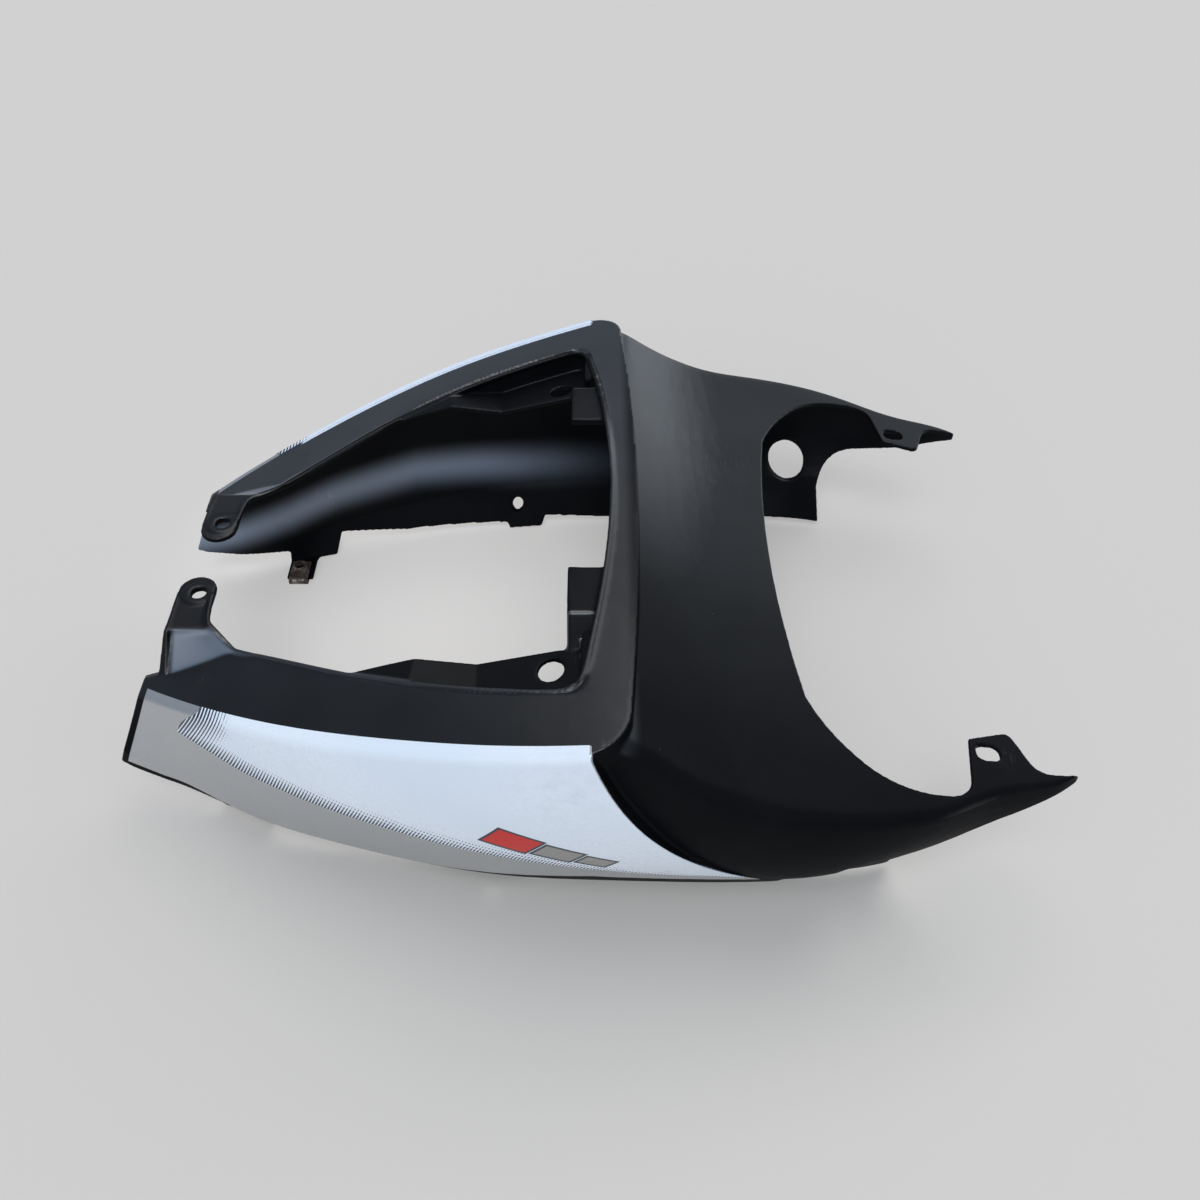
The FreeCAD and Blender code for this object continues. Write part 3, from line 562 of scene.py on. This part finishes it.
@dataclass(frozen=True)
class MouldedBlack:
    """Satin black moulded plastic with silver paint on the side panels, and a painted reflection on the inner
    walls and the ear slopes.
    """

    black: Colour = (0.0042, 0.0046, 0.0056)
    worn: Colour = (0.0065, 0.007, 0.0082)
    dust: Colour = (0.42, 0.43, 0.43)
    # Painted reflection: a pale bluish colour that stands in for light reflected on the inner walls and the
    # ear slopes.
    painted_reflection: Colour = (0.21, 0.255, 0.33)
    silver: Colour = (0.53, 0.54, 0.555)
    silver_dark: Colour = (0.41, 0.42, 0.432)
    lapped: Colour = (0.78, 0.84, 0.93)
    black_gloss: Pair = (0.42, 0.52)
    silver_gloss: Pair = (0.3, 0.38)
    silver_metal: float = 0.7
    silver_coat: float = 0.3
    painted_reflection_power: float = 1.8
    ear_painted_reflection: float = 0.5
    dust_share: float = 0.3
    grain: float = 0.6
    grain_depth: float = 0.03
    flake: float = 0.22
    panel: PaintedPanel = PaintedPanel()
    sheen: Sheen = Sheen()
    rings: tuple[RubbedRing, ...] = (
        RubbedRing((9.3, -117.9), 5.2, 0.006),
        RubbedRing((1.6, -113.5), 1.2, 0.02, 0.3),
    )
    scuffs: tuple[Scuff, ...] = (
        Scuff((7.0, -85.0, 104.0), 8.0, 0.5),
        Scuff((-132.0, 93.0, 32.0), 12.0, 0.3),
        Scuff((12.0, -136.0, 116.0), 4.0, 0.06),
        Scuff((-150.0, -66.0, 72.0), 10.0, 0.02),
        Scuff((168.0, -104.0, 66.0), 9.0, 0.12),
        Scuff((60.0, 60.0, 88.0), 40.0, 0.03),
    )

    def make(self) -> bpy.types.Material:
        """Builds the material.

        Returns:
            The material.
        """
        graph = Graph("satin_black_and_silver")
        place = Place(graph)
        broad = graph.noise(place.spot, size=38.0, detail=3.0)
        cloudy = graph.noise(place.spot, size=7.0, detail=4.0, seed=2.0)
        grain = graph.noise(place.spot, size=self.grain, detail=2.0, seed=5.0)
        scuffed = self.worn_marks(graph, place)
        dust = graph.specks(place.spot, spacing=9.0, radius=0.2) & cloudy.above(0.58, 0.04)
        painted = self.panel.mask(place)
        black = graph.mix(broad.ramp(0.35, 0.7), self.black, self.worn)
        # Painted highlight: the black is lightened towards the painted reflection colour along a streak on
        # the inner walls and on the slopes behind the ears.
        painted_reflection_share = self.sheen.painted_streak(place) ** self.painted_reflection_power | self.sheen.ear_ramp(place) * self.ear_painted_reflection
        black = graph.mix(painted_reflection_share, black, self.painted_reflection)
        black = graph.mix(dust * self.dust_share | scuffed, black, self.dust)
        flakes = graph.noise(place.spot, size=self.flake, detail=1.0, seed=9.0)
        silver = graph.mix(flakes.ramp(0.3, 0.7), self.silver_dark, self.silver)
        colour = graph.mix(self.panel.wrapped(place), graph.mix(painted, black, silver), self.lapped)
        black_gloss = (broad * 0.6 + cloudy * 0.4).ramp(0.3, 0.7, *self.black_gloss) + scuffed * 0.2
        silver_gloss = broad.ramp(0.3, 0.7, *self.silver_gloss)
        skin = self.sheen.weight(place) * (0.85 + broad * 0.3)
        relief = grain * ~painted + flakes * painted * 0.3 + painted * 2.0
        return graph.finish({
            "Base Color": colour,
            "Metallic": painted * self.silver_metal,
            "Roughness": silver_gloss * painted + black_gloss * ~painted,
            "Coat Weight": painted * self.silver_coat + skin * ~painted,
            "Coat Roughness": 0.3,
            "Coat IOR": 1.9,
            "Specular IOR Level": 0.01,
            "Normal": graph.bump(relief, self.grain_depth),
        })

    def worn_marks(self, graph: Graph, place: Place) -> Field:
        """The scuffs and the rubbed rings.

        Args:
            graph: the material's graph.
            place: the surface's coordinates.

        Returns:
            A mask of all the marks.
        """
        scratches = self.scratches(graph, place)
        marks = [place.near(scuff.spot, scuff.radius) * scuff.strength * scratches for scuff in self.scuffs]
        return reduce(operator.or_, marks + [ring.mask(place) for ring in self.rings])

    def scratches(self, graph: Graph, place: Place) -> Field:
        """Fine crossing scratches.

        Args:
            graph: the material's graph.
            place: the surface's coordinates.

        Returns:
            A mask of the scratches.
        """
        stretched = graph.field("ShaderNodeMapping", inputs={"Vector": place.spot, "Scale": (1.0, 0.12, 0.3)})
        lines = graph.noise(stretched, size=0.7, detail=2.0, seed=3.0)
        patches = graph.noise(place.spot, size=5.0, detail=3.0, seed=4.0)
        return lines.above(0.56, 0.06) & patches.above(0.48, 0.12)


@dataclass(frozen=True)
class FilmBorder:
    """The lower and front border of the film, seen from the side as (x, height) points, from the toe."""

    lower: Line = (
        (-163.0, 55.5), (-133.0, 52.5), (-71.0, 53.7), (-17.7, 48.4), (35.0, 39.0), (69.2, 35.6),
    )
    shoulder: Pair = (-146.0, 74.0)

    def rise(self, place: Place) -> Field:
        """How far a point is above the lower border."""
        return place.z - place.profile(self.lower)

    def setback(self, place: Place) -> Field:
        """How far a point is behind the front edge.

        Args:
            place: the surface's coordinates.

        Returns:
            The distance from the slanted front and from the upright line above it.
        """
        toe = self.lower[0]
        run = (self.shoulder[0] - toe[0], self.shoulder[1] - toe[1])
        slanted = ((place.x - toe[0]) * run[1] - (place.z - toe[1]) * run[0]) / math.hypot(*run)
        return slanted.most(place.x - self.shoulder[0])


@dataclass(frozen=True)
class Halftone:
    """Slanted dashes along the film's border, which thin out into dots."""

    pitch: float = 1.32
    row: float = 2.5
    row_slope: float = 0.12
    lean_run: Pair = (-165.0, -112.0)
    lean: Pair = (0.62, 0.46)
    break_run: Pair = (-150.0, -15.0)
    broken: Pair = (0.12, 0.6)
    tail_run: Pair = (-15.0, 55.0)
    reach: Pair = (11.0, 2.6)
    front_reach: float = 13.0
    front_ink: float = 0.85
    full_ink: float = 0.9
    threshold: float = 1.1
    edge: float = 0.09

    def mask(self, place: Place, border: FilmBorder) -> Field:
        """Where the dark print is.

        Args:
            place: the surface's coordinates.
            border: the film's border.

        Returns:
            A mask of the print.
        """
        rise = border.rise(place)
        stripe = (place.x - rise * place.x.ramp(*self.lean_run, *self.lean)).wave(self.pitch)
        rows = (rise + place.x * self.row_slope).wave(self.row)
        broken = place.x.ramp(*self.break_run, *self.broken)
        tone = stripe * (1.0 - broken) + stripe * rows * broken
        low = 1.0 - rise / place.x.ramp(*self.tail_run, *self.reach)
        front = (1.0 - border.setback(place) / self.front_reach) * self.front_ink
        ink = low.most(front).most(0.0).least(1.0)
        return tone.above(self.threshold - ink * self.full_ink, self.edge)


@dataclass(frozen=True)
class SlantedBar:
    """One bar of the plain accent, with a dark outline."""

    start: float
    end: float
    tall: float
    colour: Colour


@dataclass(frozen=True)
class WhiteFilm:
    """Gloss white self-adhesive film with a halftone border and three plain slanted bars."""

    white: Colour = (0.83, 0.89, 0.97)
    shaded: Colour = (0.78, 0.85, 0.94)
    ink: Colour = (0.035, 0.045, 0.07)
    outline: Colour = (0.03, 0.035, 0.05)
    mark: Colour = (0.3, 0.33, 0.38)
    gloss: Pair = (0.24, 0.36)
    border: FilmBorder = FilmBorder()
    halftone: Halftone = Halftone()
    bar_spot: Pair = (-29.0, 67.0)
    bar_slope: float = -0.34
    bar_lean: float = 0.75
    bar_outline: float = 1.3
    bar_edge: float = 0.15
    bars: tuple[SlantedBar, ...] = (
        SlantedBar(0.0, 20.0, 12.0, (0.62, 0.018, 0.012)),
        SlantedBar(23.0, 40.0, 9.5, (0.3, 0.29, 0.27)),
        SlantedBar(43.0, 56.0, 7.0, (0.3, 0.29, 0.27)),
    )
    scuffs: tuple[Scuff, ...] = (
        Scuff((0.0, -144.0, 96.0), 30.0, 0.2),
        Scuff((37.0, -140.0, 44.0), 5.0, 0.7),
        Scuff((-100.0, -116.0, 74.0), 26.0, 0.12),
        Scuff((0.0, 144.0, 80.0), 34.0, 0.2),
    )

    def make(self) -> bpy.types.Material:
        """Builds the material.

        Returns:
            The material.
        """
        graph = Graph("printed_white_film")
        place = Place(graph)
        broad = graph.noise(place.spot, size=55.0, detail=2.0)
        fine = graph.noise(place.spot, size=1.6, detail=3.0, seed=2.0)
        colour = graph.mix(broad.ramp(0.35, 0.65), self.white, self.shaded)
        colour = graph.mix(self.halftone.mask(place, self.border), colour, self.ink)
        along = place.x - self.bar_spot[0] - (place.z - self.bar_spot[1]) * self.bar_lean
        across = place.z - self.bar_spot[1] - (place.x - self.bar_spot[0]) * self.bar_slope
        for bar in self.bars:
            colour = graph.mix(self.bar_mask(along, across, bar, self.bar_outline), colour, self.outline)
            colour = graph.mix(self.bar_mask(along, across, bar, 0.0), colour, bar.colour)
        rubbed = graph.noise(place.spot, size=5.0, detail=4.0, seed=6.0).above(0.55, 0.12)
        rubbed = rubbed & fine.above(0.5, 0.2)
        for scuff in self.scuffs:
            patch = place.near(scuff.spot, scuff.radius) * rubbed * scuff.strength
            colour = graph.mix(patch, colour, self.mark)
        colour = graph.mix(graph.specks(place.spot, spacing=14.0, radius=0.16) * 0.5, colour, self.mark)
        return graph.finish({
            "Base Color": colour,
            "Roughness": (broad * 0.5 + fine * 0.5).ramp(0.3, 0.7, *self.gloss),
            "Coat Weight": 0.2,
            "Coat Roughness": 0.1,
            "Specular IOR Level": 0.3,
            "Normal": graph.bump(graph.noise(place.spot, size=3.5, detail=2.0, seed=8.0), depth=0.02),
        })

    def bar_mask(self, along: Field, across: Field, bar: SlantedBar, margin: float) -> Field:
        """Where one bar is.

        Args:
            along: the place along the bars.
            across: the place across them.
            bar: the bar.
            margin: how far its outline stands out.

        Returns:
            A mask of the bar.
        """
        middle = (bar.start + bar.end) / 2
        length = abs(along - middle).below((bar.end - bar.start) / 2 + margin, self.bar_edge)
        return length & abs(across).below(bar.tall / 2 + margin, self.bar_edge)


@dataclass(frozen=True)
class RustedSpringSteel:
    """Dull spring steel with brown rust in patches."""

    steel: Colour = (0.26, 0.24, 0.21)
    rust: Colour = (0.085, 0.045, 0.026)
    deep_rust: Colour = (0.026, 0.016, 0.011)

    def make(self) -> bpy.types.Material:
        """Builds the material.

        Returns:
            The material.
        """
        graph = Graph("rusted_spring_steel")
        place = Place(graph)
        patches = graph.noise(place.spot, size=3.2, detail=5.0)
        fine = graph.noise(place.spot, size=0.5, detail=4.0, seed=3.0)
        rusted = (patches * 0.75 + fine * 0.25).ramp(0.4, 0.56)
        rust = graph.mix(fine.ramp(0.35, 0.65), self.deep_rust, self.rust)
        return graph.finish({
            "Base Color": graph.mix(rusted, self.steel, rust),
            "Metallic": 0.9 - rusted * 0.85,
            "Roughness": rusted * 0.4 + fine * 0.2 + 0.3,
            "Normal": graph.bump(fine * rusted + fine * 0.2, depth=0.06),
        })


@dataclass(frozen=True)
class PaleFloor:
    """The matte pale floor of the studio, lit a little from below, with more glow painted in as fill light
    where the seat opening's shadow falls, and less glow on the near side so that the shadow there falls
    deeper.
    """

    tone: Colour = (0.41, 0.385, 0.362)
    glow: Colour = (0.262, 0.256, 0.25)
    near_tone: Colour = (0.615, 0.575, 0.525)
    near_glow: Colour = (0.08, 0.078, 0.076)
    # Painted light: this extra glow fills the shadow on the floor under the seat opening.
    painted_fill_glow: Colour = (0.44, 0.43, 0.42)
    near_y: Pair = (-60.0, -120.0)
    painted_fill_spot: Spot = (-75.0, 60.0, 0.0)
    painted_fill_radius: float = 190.0

    def make(self) -> bpy.types.Material:
        """Builds the material.

        Returns:
            The material.
        """
        graph = Graph("pale_floor")
        place = Place(graph)
        faint = graph.noise(place.spot, size=400.0, detail=2.0)
        near = place.y.ramp(*self.near_y)
        # Painted light: more glow in a ball under the seat opening fills its shadow; on the near side, less
        # glow and a paler tone make the cast shadow there deeper.
        glow = graph.mix(place.near(self.painted_fill_spot, self.painted_fill_radius), self.glow, self.painted_fill_glow)
        tone = graph.mix(near, self.tone, self.near_tone)
        return graph.finish({
            "Base Color": graph.mix(faint * 0.02, tone, (0.6, 0.6, 0.6)),
            "Emission Color": graph.mix(near, glow, self.near_glow),
            "Emission Strength": 1.0,
            "Roughness": 0.9,
            "Specular IOR Level": 0.1,
        })


def linked(name: str, data: bpy.types.ID) -> bpy.types.Object:
    """Puts a mesh, curve, light or camera in the scene.

    Args:
        name: the object's name.
        data: what it shows.

    Returns:
        The object.
    """
    piece = bpy.data.objects.new(name, data)
    bpy.context.scene.collection.objects.link(piece)
    return piece


def meshed(name: str, build: bmesh.types.BMesh) -> bpy.types.Mesh:
    """Turns a build into a mesh.

    Args:
        name: the mesh's name.
        build: the build, which is freed.

    Returns:
        The mesh.
    """
    mesh = bpy.data.meshes.new(name)
    build.to_mesh(mesh)
    build.free()
    return mesh


def shown(name: str, mesh: bpy.types.Mesh, material: bpy.types.Material) -> bpy.types.Object:
    """Puts a mesh in the scene with one material and smooth faces.

    Args:
        name: the piece's name.
        mesh: its mesh.
        material: its material.

    Returns:
        The object.
    """
    mesh.materials.clear()
    mesh.materials.append(material)
    mesh.shade_smooth()
    return linked(name, mesh)


def applied(piece: bpy.types.Object) -> bpy.types.Mesh:
    """The mesh of a piece with all its modifiers worked in.

    Args:
        piece: the piece, which is removed.

    Returns:
        The finished mesh.
    """
    bpy.context.view_layer.update()
    graph = bpy.context.evaluated_depsgraph_get()
    mesh = bpy.data.meshes.new_from_object(piece.evaluated_get(graph))
    bpy.data.objects.remove(piece)
    return mesh


def modifier(piece: bpy.types.Object, kind: str, **settings: Any) -> None:
    """Adds a modifier to a piece.

    Args:
        piece: the piece.
        kind: the modifier's type.
        settings: its settings.
    """
    made = piece.modifiers.new(kind.lower(), kind)
    for name, value in settings.items():
        setattr(made, name, value)


@dataclass(frozen=True)
class Bead:
    """A rounded rib along a rim, as (x, distance from the middle plane) points, wall on their left."""

    line: Line
    radius: float
    crest: float
    inset: float = 1.3
    lowest: float = 55.0
    highest: float = 130.0

    def build(self, solid: bpy.types.Object, side: Side) -> bpy.types.Mesh:
        """Lays the bead along the rim, at the height of the wall's top beside it.

        Args:
            solid: the solid that it lies on.
            side: the side that it is on.

        Returns:
            A closed tube.
        """
        points = []
        ends = (self.line[0], *self.line, self.line[-1])
        for (x, half), before, after in zip(self.line, ends, ends[2:]):
            along = Vector((after[0] - before[0], after[1] - before[1])).normalized() * self.inset
            start = Vector((x - along.y, side.value * (half + along.x), self.highest)) * MM
            hit, spot, _, _ = solid.ray_cast(start, Vector((0.0, 0.0, -1.0)))
            if hit and spot.z > self.lowest * MM:
                height = spot.z / MM + self.crest - self.radius
                points.append((x * MM, side.value * half * MM, height * MM, 1.0))
        curve = bpy.data.curves.new("bead", "CURVE")
        curve.dimensions = "3D"
        curve.bevel_depth = self.radius * MM
        curve.bevel_resolution = 4
        curve.use_fill_caps = True
        spline = curve.splines.new("NURBS")
        spline.points.add(len(points) - 1)
        spline.points.foreach_set("co", [value for point in points for value in point])
        spline.use_endpoint_u = True
        spline.order_u = 3
        spline.resolution_u = 6
        return applied(linked("bead", curve))


@dataclass(frozen=True)
class SoftBend:
    """A box in which the bends are rounder than elsewhere, the same on both sides."""

    low: Spot
    high: Spot
    share: float = 1.0
    fade: float = 3.0

    def weights(self, spots: np.ndarray) -> np.ndarray:
        """How far each point is smoothed.

        Args:
            spots: the points, in millimetres.

        Returns:
            A share for each point, from 0 to 1.
        """
        folded = spots.copy()
        folded[:, 1] = np.abs(folded[:, 1])
        inside = np.minimum(folded - self.low, np.array(self.high) - folded).min(axis=1)
        return np.clip(inside / self.fade, 0.0, 1.0) * self.share


@dataclass
class CowlShell:
    """The one-piece moulded cowl, with every edge rounded as the mould leaves it."""

    node: str = "cowl_shell"
    grid: float = 0.52
    rounding_passes: int = 9
    bend_passes: int = 36
    bend_levels: int = 5
    triangles: int = 192000
    beads: tuple[Bead, ...] = (
        Bead(((-156.4, 24.0), (-156.4, 36.0), (-153.8, 42.5), (-149.5, 48.0), (-143.0, 53.3), (-135.0, 58.0),
              (-118.0, 67.3), (-95.0, 80.0), (-80.0, 86.6), (-60.0, 94.6), (-40.0, 101.3), (-20.0, 106.4),
              (-8.0, 109.0), (-2.0, 109.9), (2.0, 108.6), (5.2, 105.0), (7.2, 99.0), (8.6, 90.0),
              (11.0, 76.0), (13.4, 60.0), (15.6, 40.0), (17.0, 20.0), (17.5, -1.0)), 1.2, 1.1),
        Bead(((-171.6, 43.0), (-171.9, 36.0), (-171.9, 22.0)), 0.8, 0.35),
        Bead(((-171.8, 58.5), (-171.6, 52.0), (-171.3, 44.5)), 0.85, 0.6),
    )
    bends: tuple[SoftBend, ...] = (
        SoftBend((-170.0, 36.0, 58.0), (-128.0, 62.0, 90.0)),
        SoftBend((-4.0, 66.0, 98.0), (10.0, 88.0, 124.0)),
        SoftBend((2.0, -5.0, 108.0), (34.0, 150.0, 130.0), 0.5),
        SoftBend((2.0, 118.0, 20.0), (84.0, 150.0, 122.0), 0.5),
        SoftBend((30.0, 96.0, -2.0), (204.0, 150.0, 62.0), 0.4),
    )
    finish: MouldedBlack = field(default_factory=MouldedBlack)

    def build(self) -> bpy.types.Mesh:
        """Rounds the edges of the solid: a fine closed grid over its form, smoothed, then thinned out.

        Returns:
            The mesh.
        """
        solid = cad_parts[self.node]
        joined = bmesh.new()
        joined.from_mesh(solid.data)
        for bead in self.beads:
            for side in Side:
                tube = bead.build(solid, side)
                joined.from_mesh(tube)
                bpy.data.meshes.remove(tube)
        piece = linked("cowl_form", meshed("cowl_form", joined))
        modifier(piece, "REMESH", mode="VOXEL", voxel_size=self.grid * MM, adaptivity=0.0)
        gridded = applied(piece)
        piece = linked("cowl_grid", gridded)
        self.mark_bends(piece)
        modifier(piece, "SMOOTH", factor=0.5, iterations=self.bend_passes, vertex_group="bends")
        modifier(piece, "SMOOTH", factor=0.5, iterations=self.rounding_passes)
        modifier(piece, "DECIMATE", ratio=self.triangles / (2 * len(gridded.polygons)))
        return applied(piece)

    def mark_bends(self, piece: bpy.types.Object) -> None:
        """Gives each point of the grid its share of the extra rounding.

        Args:
            piece: the gridded cowl.
        """
        spots = np.empty(len(piece.data.vertices) * 3)
        piece.data.vertices.foreach_get("co", spots)
        spots = spots.reshape(-1, 3) / MM
        share = np.zeros(len(spots))
        for bend in self.bends:
            share = np.maximum(share, bend.weights(spots))
        levels = np.round(share * self.bend_levels).astype(int)
        group = piece.vertex_groups.new(name="bends")
        for level in range(1, self.bend_levels + 1):
            group.add(np.flatnonzero(levels == level).tolist(), level / self.bend_levels, "REPLACE")

    def place(self) -> None:
        """Builds and dresses the cowl and gives it its place on the body."""
        piece = shown("moulded_cowl", self.build(), self.finish.make())
        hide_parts(self.node)
        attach(piece, "root")
        log.info("moulded_cowl: %d faces", len(piece.data.polygons))


@dataclass
class SideFilms:
    """The printed film on each side panel."""

    finish: WhiteFilm = field(default_factory=WhiteFilm)

    def place(self) -> None:
        """Gives both films their finish."""
        material = self.finish.make()
        for side in Side:
            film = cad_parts[f"side_film_{side.name.lower()}"]
            film.data.materials.clear()
            film.data.materials.append(material)
            log.info("%s: %d faces", film.name, len(film.data.polygons))


@dataclass
class ClipNut:
    """A spring clip nut: a strip folded over the tab, with a threaded collar on its upper leaf."""

    side: Side
    material: bpy.types.Material
    hole_x: float = -149.0
    hole_half: float = 72.0
    width: float = 10.0
    bend_half: float = 63.9
    end_half: float = 77.0
    sheet: float = 0.8
    tab_under: float = 0.8
    tab_wall: float = 2.2
    collar_r: float = 3.6
    thread_r: float = 2.5
    collar_rise: float = 2.4
    pitch: float = 0.8
    thread_depth: float = 0.28
    thread_steps: int = 8
    turn_steps: int = 56
    bend_steps: int = 12
    edge_round: float = 0.22
    collar_round: float = 0.35
    collar_flare: float = 0.5
    drill_length: float = 20.0
    sharp_angle: float = 40.0

    @property
    def tab_top(self) -> float:
        """The height of the tab's upper face."""
        return self.tab_under + self.tab_wall

    def fold(self, radius: float) -> list[Pair]:
        """One face of the strip's fold, as (half width, height) points.

        Args:
            radius: how far the face is from the middle of the tab.

        Returns:
            A half circle of points, from the upper leaf to the lower one.
        """
        turns = [math.pi / 2 + math.pi * step / self.bend_steps for step in range(self.bend_steps + 1)]
        half, middle = self.bend_half, self.tab_under + self.tab_wall / 2
        return [(half + radius * math.cos(turn), middle + radius * math.sin(turn)) for turn in turns]

    def section(self) -> list[Pair]:
        """The folded strip's outline across the tab.

        Returns:
            Its (half width, height) points.
        """
        inner = self.tab_wall / 2
        top = self.tab_top + self.sheet
        outer_line = [(self.end_half, top), *self.fold(inner + self.sheet), (self.end_half, 0.0)]
        inner_line = [(self.end_half, self.tab_top), *self.fold(inner), (self.end_half, self.tab_under)]
        return outer_line + inner_line[::-1]

    def strip(self) -> bpy.types.Mesh:
        """The folded strip with its screw holes.

        Returns:
            The mesh.
        """
        build = bmesh.new()
        outline = self.section()
        rings = []
        for x in (self.hole_x - self.width / 2, self.hole_x + self.width / 2):
            points = [Vector((x, self.side.value * half, height)) * MM for half, height in outline]
            rings.append([build.verts.new(point) for point in points])
        build.faces.new(rings[0])
        build.faces.new(rings[1][::-1])
        for index in range(len(outline)):
            after = (index + 1) % len(outline)
            build.faces.new((rings[0][index], rings[1][index], rings[1][after], rings[0][after]))
        bmesh.ops.recalc_face_normals(build, faces=build.faces)
        piece = linked("strip", meshed("strip", build))
        drill = self.drill()
        modifier(piece, "BOOLEAN", operation="DIFFERENCE", solver="EXACT", object=drill)
        modifier(piece, "BEVEL", width=self.edge_round * MM, segments=3, limit_method="ANGLE")
        done = applied(piece)
        bpy.data.objects.remove(drill)
        return done

    def drill(self) -> bpy.types.Object:
        """A cylinder that cuts the strip's holes.

        Returns:
            The cylinder, not shown.
        """
        build = bmesh.new()
        radius = (self.thread_r + self.thread_depth) * MM
        length = self.drill_length * MM
        bmesh.ops.create_cone(
            build, cap_ends=True, segments=self.turn_steps, depth=length, radius1=radius, radius2=radius,
        )
        piece = linked("drill", meshed("drill", build))
        piece.location = Vector((self.hole_x, self.side.value * self.hole_half, 0.0)) * MM
        return piece

    def collar(self) -> bpy.types.Mesh:
        """The collar, turned as one closed surface with a helical thread inside.

        Returns:
            The mesh.
        """
        foot = self.tab_top + self.sheet / 2
        leaf = self.tab_top + self.sheet
        head = leaf + self.collar_rise
        flare, rim = self.collar_r + self.collar_flare, self.collar_round
        rows = [
            (flare, foot, 0.0), (flare, leaf + 0.02, 0.0),
            (self.collar_r + 0.12, leaf + 0.3, 0.0), (self.collar_r, leaf + 0.8, 0.0),
            (self.collar_r - 0.05, head - rim, 0.0), (self.collar_r - 0.2, head - rim / 3, 0.0),
            (self.collar_r - 0.45, head, 0.0), (self.thread_r + self.thread_depth + 0.1, head, 0.0),
        ]
        steps = int((head - foot) / self.pitch * self.thread_steps) + 1
        for step in range(steps):
            rows.append((self.thread_r, head - (head - foot) * (step + 0.5) / steps, self.thread_depth))
        build = bmesh.new()
        rings = []
        for radius, height, depth in rows:
            ring = []
            for index in range(self.turn_steps):
                angle = 2 * math.pi * index / self.turn_steps
                turn = (height / self.pitch - angle / (2 * math.pi)) % 1.0
                r = radius + depth * abs(2 * turn - 1)
                spot = (
                    self.hole_x + r * math.cos(angle),
                    self.side.value * self.hole_half + r * math.sin(angle),
                    height,
                )
                ring.append(build.verts.new(Vector(spot) * MM))
            rings.append(ring)
        for ring, after in zip(rings, rings[1:] + rings[:1]):
            for index in range(self.turn_steps):
                beside = (index + 1) % self.turn_steps
                build.faces.new((ring[index], ring[beside], after[beside], after[index]))
        bmesh.ops.recalc_face_normals(build, faces=build.faces)
        return meshed("collar", build)

    def place(self) -> None:
        """Builds and dresses the nut and gives it its place on the body."""
        build = bmesh.new()
        for mesh in (self.strip(), self.collar()):
            build.from_mesh(mesh)
            bpy.data.meshes.remove(mesh)
        name = self.side.name.lower()
        piece = shown(f"spring_clip_{name}", meshed(f"spring_clip_{name}", build), self.material)
        piece.data.set_sharp_from_angle(angle=math.radians(self.sharp_angle))
        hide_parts(f"clip_nut_{name}")
        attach(piece, "root")
        log.info("%s: %d faces", piece.name, len(piece.data.polygons))


@dataclass(frozen=True)
class WideSun:
    """A soft sun, whose compass angle, height and spread are in degrees."""

    name: str
    compass: float
    height: float
    energy: float
    spread: float
    colour: Colour

    def shine(self) -> None:
        """Hangs the sun, turned to the middle of the floor."""
        light = bpy.data.lights.new(self.name, "SUN")
        light.energy = self.energy
        light.angle = math.radians(self.spread)
        light.color = self.colour
        sun = linked(self.name, light)
        rise, turn = math.radians(self.height), math.radians(self.compass)
        level = math.cos(rise)
        source = Vector((math.sin(turn) * level, math.cos(turn) * level, math.sin(rise)))
        sun.rotation_euler = source.to_track_quat("Z", "Y").to_euler()
        sun.location = source


@dataclass
class Studio:
    """The floor, the lights and the camera."""

    eye: Spot = (10.0, -380.0, 431.0)
    look_down: float = 45.0
    focal_px: float = 1150.0
    picture_px: float = 1200.0
    centre_px: float = 595.0
    sensor: float = 36.0
    clip_m: Pair = (0.01, 60.0)
    floor_half: float = 9000.0
    sky: Colour = (0.53, 0.63, 0.79)
    sky_strength: float = 0.42
    suns: tuple[WideSun, ...] = (
        WideSun("key", 10.0, 66.0, 0.95, 50.0, (1.0, 0.99, 0.97)),
        WideSun("horizon", 38.0, 16.0, 0.8, 60.0, (0.86, 0.93, 1.0)),
        WideSun("window", 188.0, 62.0, 0.75, 24.0, (0.8, 0.9, 1.0)),
        WideSun("front", 200.0, 38.0, 0.9, 70.0, (0.95, 0.97, 1.0)),
    )
    floor_finish: PaleFloor = field(default_factory=PaleFloor)

    def floor(self) -> None:
        """Lays the floor."""
        build = bmesh.new()
        bmesh.ops.create_grid(build, x_segments=8, y_segments=8, size=self.floor_half * MM)
        shown("floor", meshed("floor", build), self.floor_finish.make())

    def lights(self) -> None:
        """Sets the soft lights: the sky all round, and the wide suns."""
        world = bpy.data.worlds.new("soft_sky")
        world.use_nodes = True
        background = world.node_tree.nodes["Background"]
        background.inputs["Color"].default_value = (*self.sky, 1.0)
        background.inputs["Strength"].default_value = self.sky_strength
        bpy.context.scene.world = world
        for sun in self.suns:
            sun.shine()

    def camera(self) -> None:
        """Sets up the camera at the viewing angle of the photograph."""
        camera = bpy.data.cameras.new("camera")
        camera.sensor_width = self.sensor
        camera.lens = self.focal_px / self.picture_px * self.sensor
        camera.shift_x = (self.picture_px / 2 - self.centre_px) / self.picture_px
        camera.clip_start, camera.clip_end = self.clip_m
        eye = linked("camera", camera)
        eye.location = Vector(self.eye) * MM
        eye.rotation_euler = (math.radians(90.0 - self.look_down), 0.0, 0.0)
        bpy.context.scene.camera = eye

    def place(self) -> None:
        """Sets up the whole studio."""
        bpy.context.scene.view_settings.view_transform = "Standard"
        self.camera()
        self.floor()
        self.lights()
        log.info("studio: floor, camera and %d lights", len(self.suns))


def main() -> None:
    """Builds the fairing and its studio."""
    logging.basicConfig(level=logging.INFO, format="%(message)s")
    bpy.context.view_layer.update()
    Studio().place()
    CowlShell().place()
    SideFilms().place()
    steel = RustedSpringSteel().make()
    for side in Side:
        ClipNut(side, steel).place()


if __name__ == "__main__":
    main()
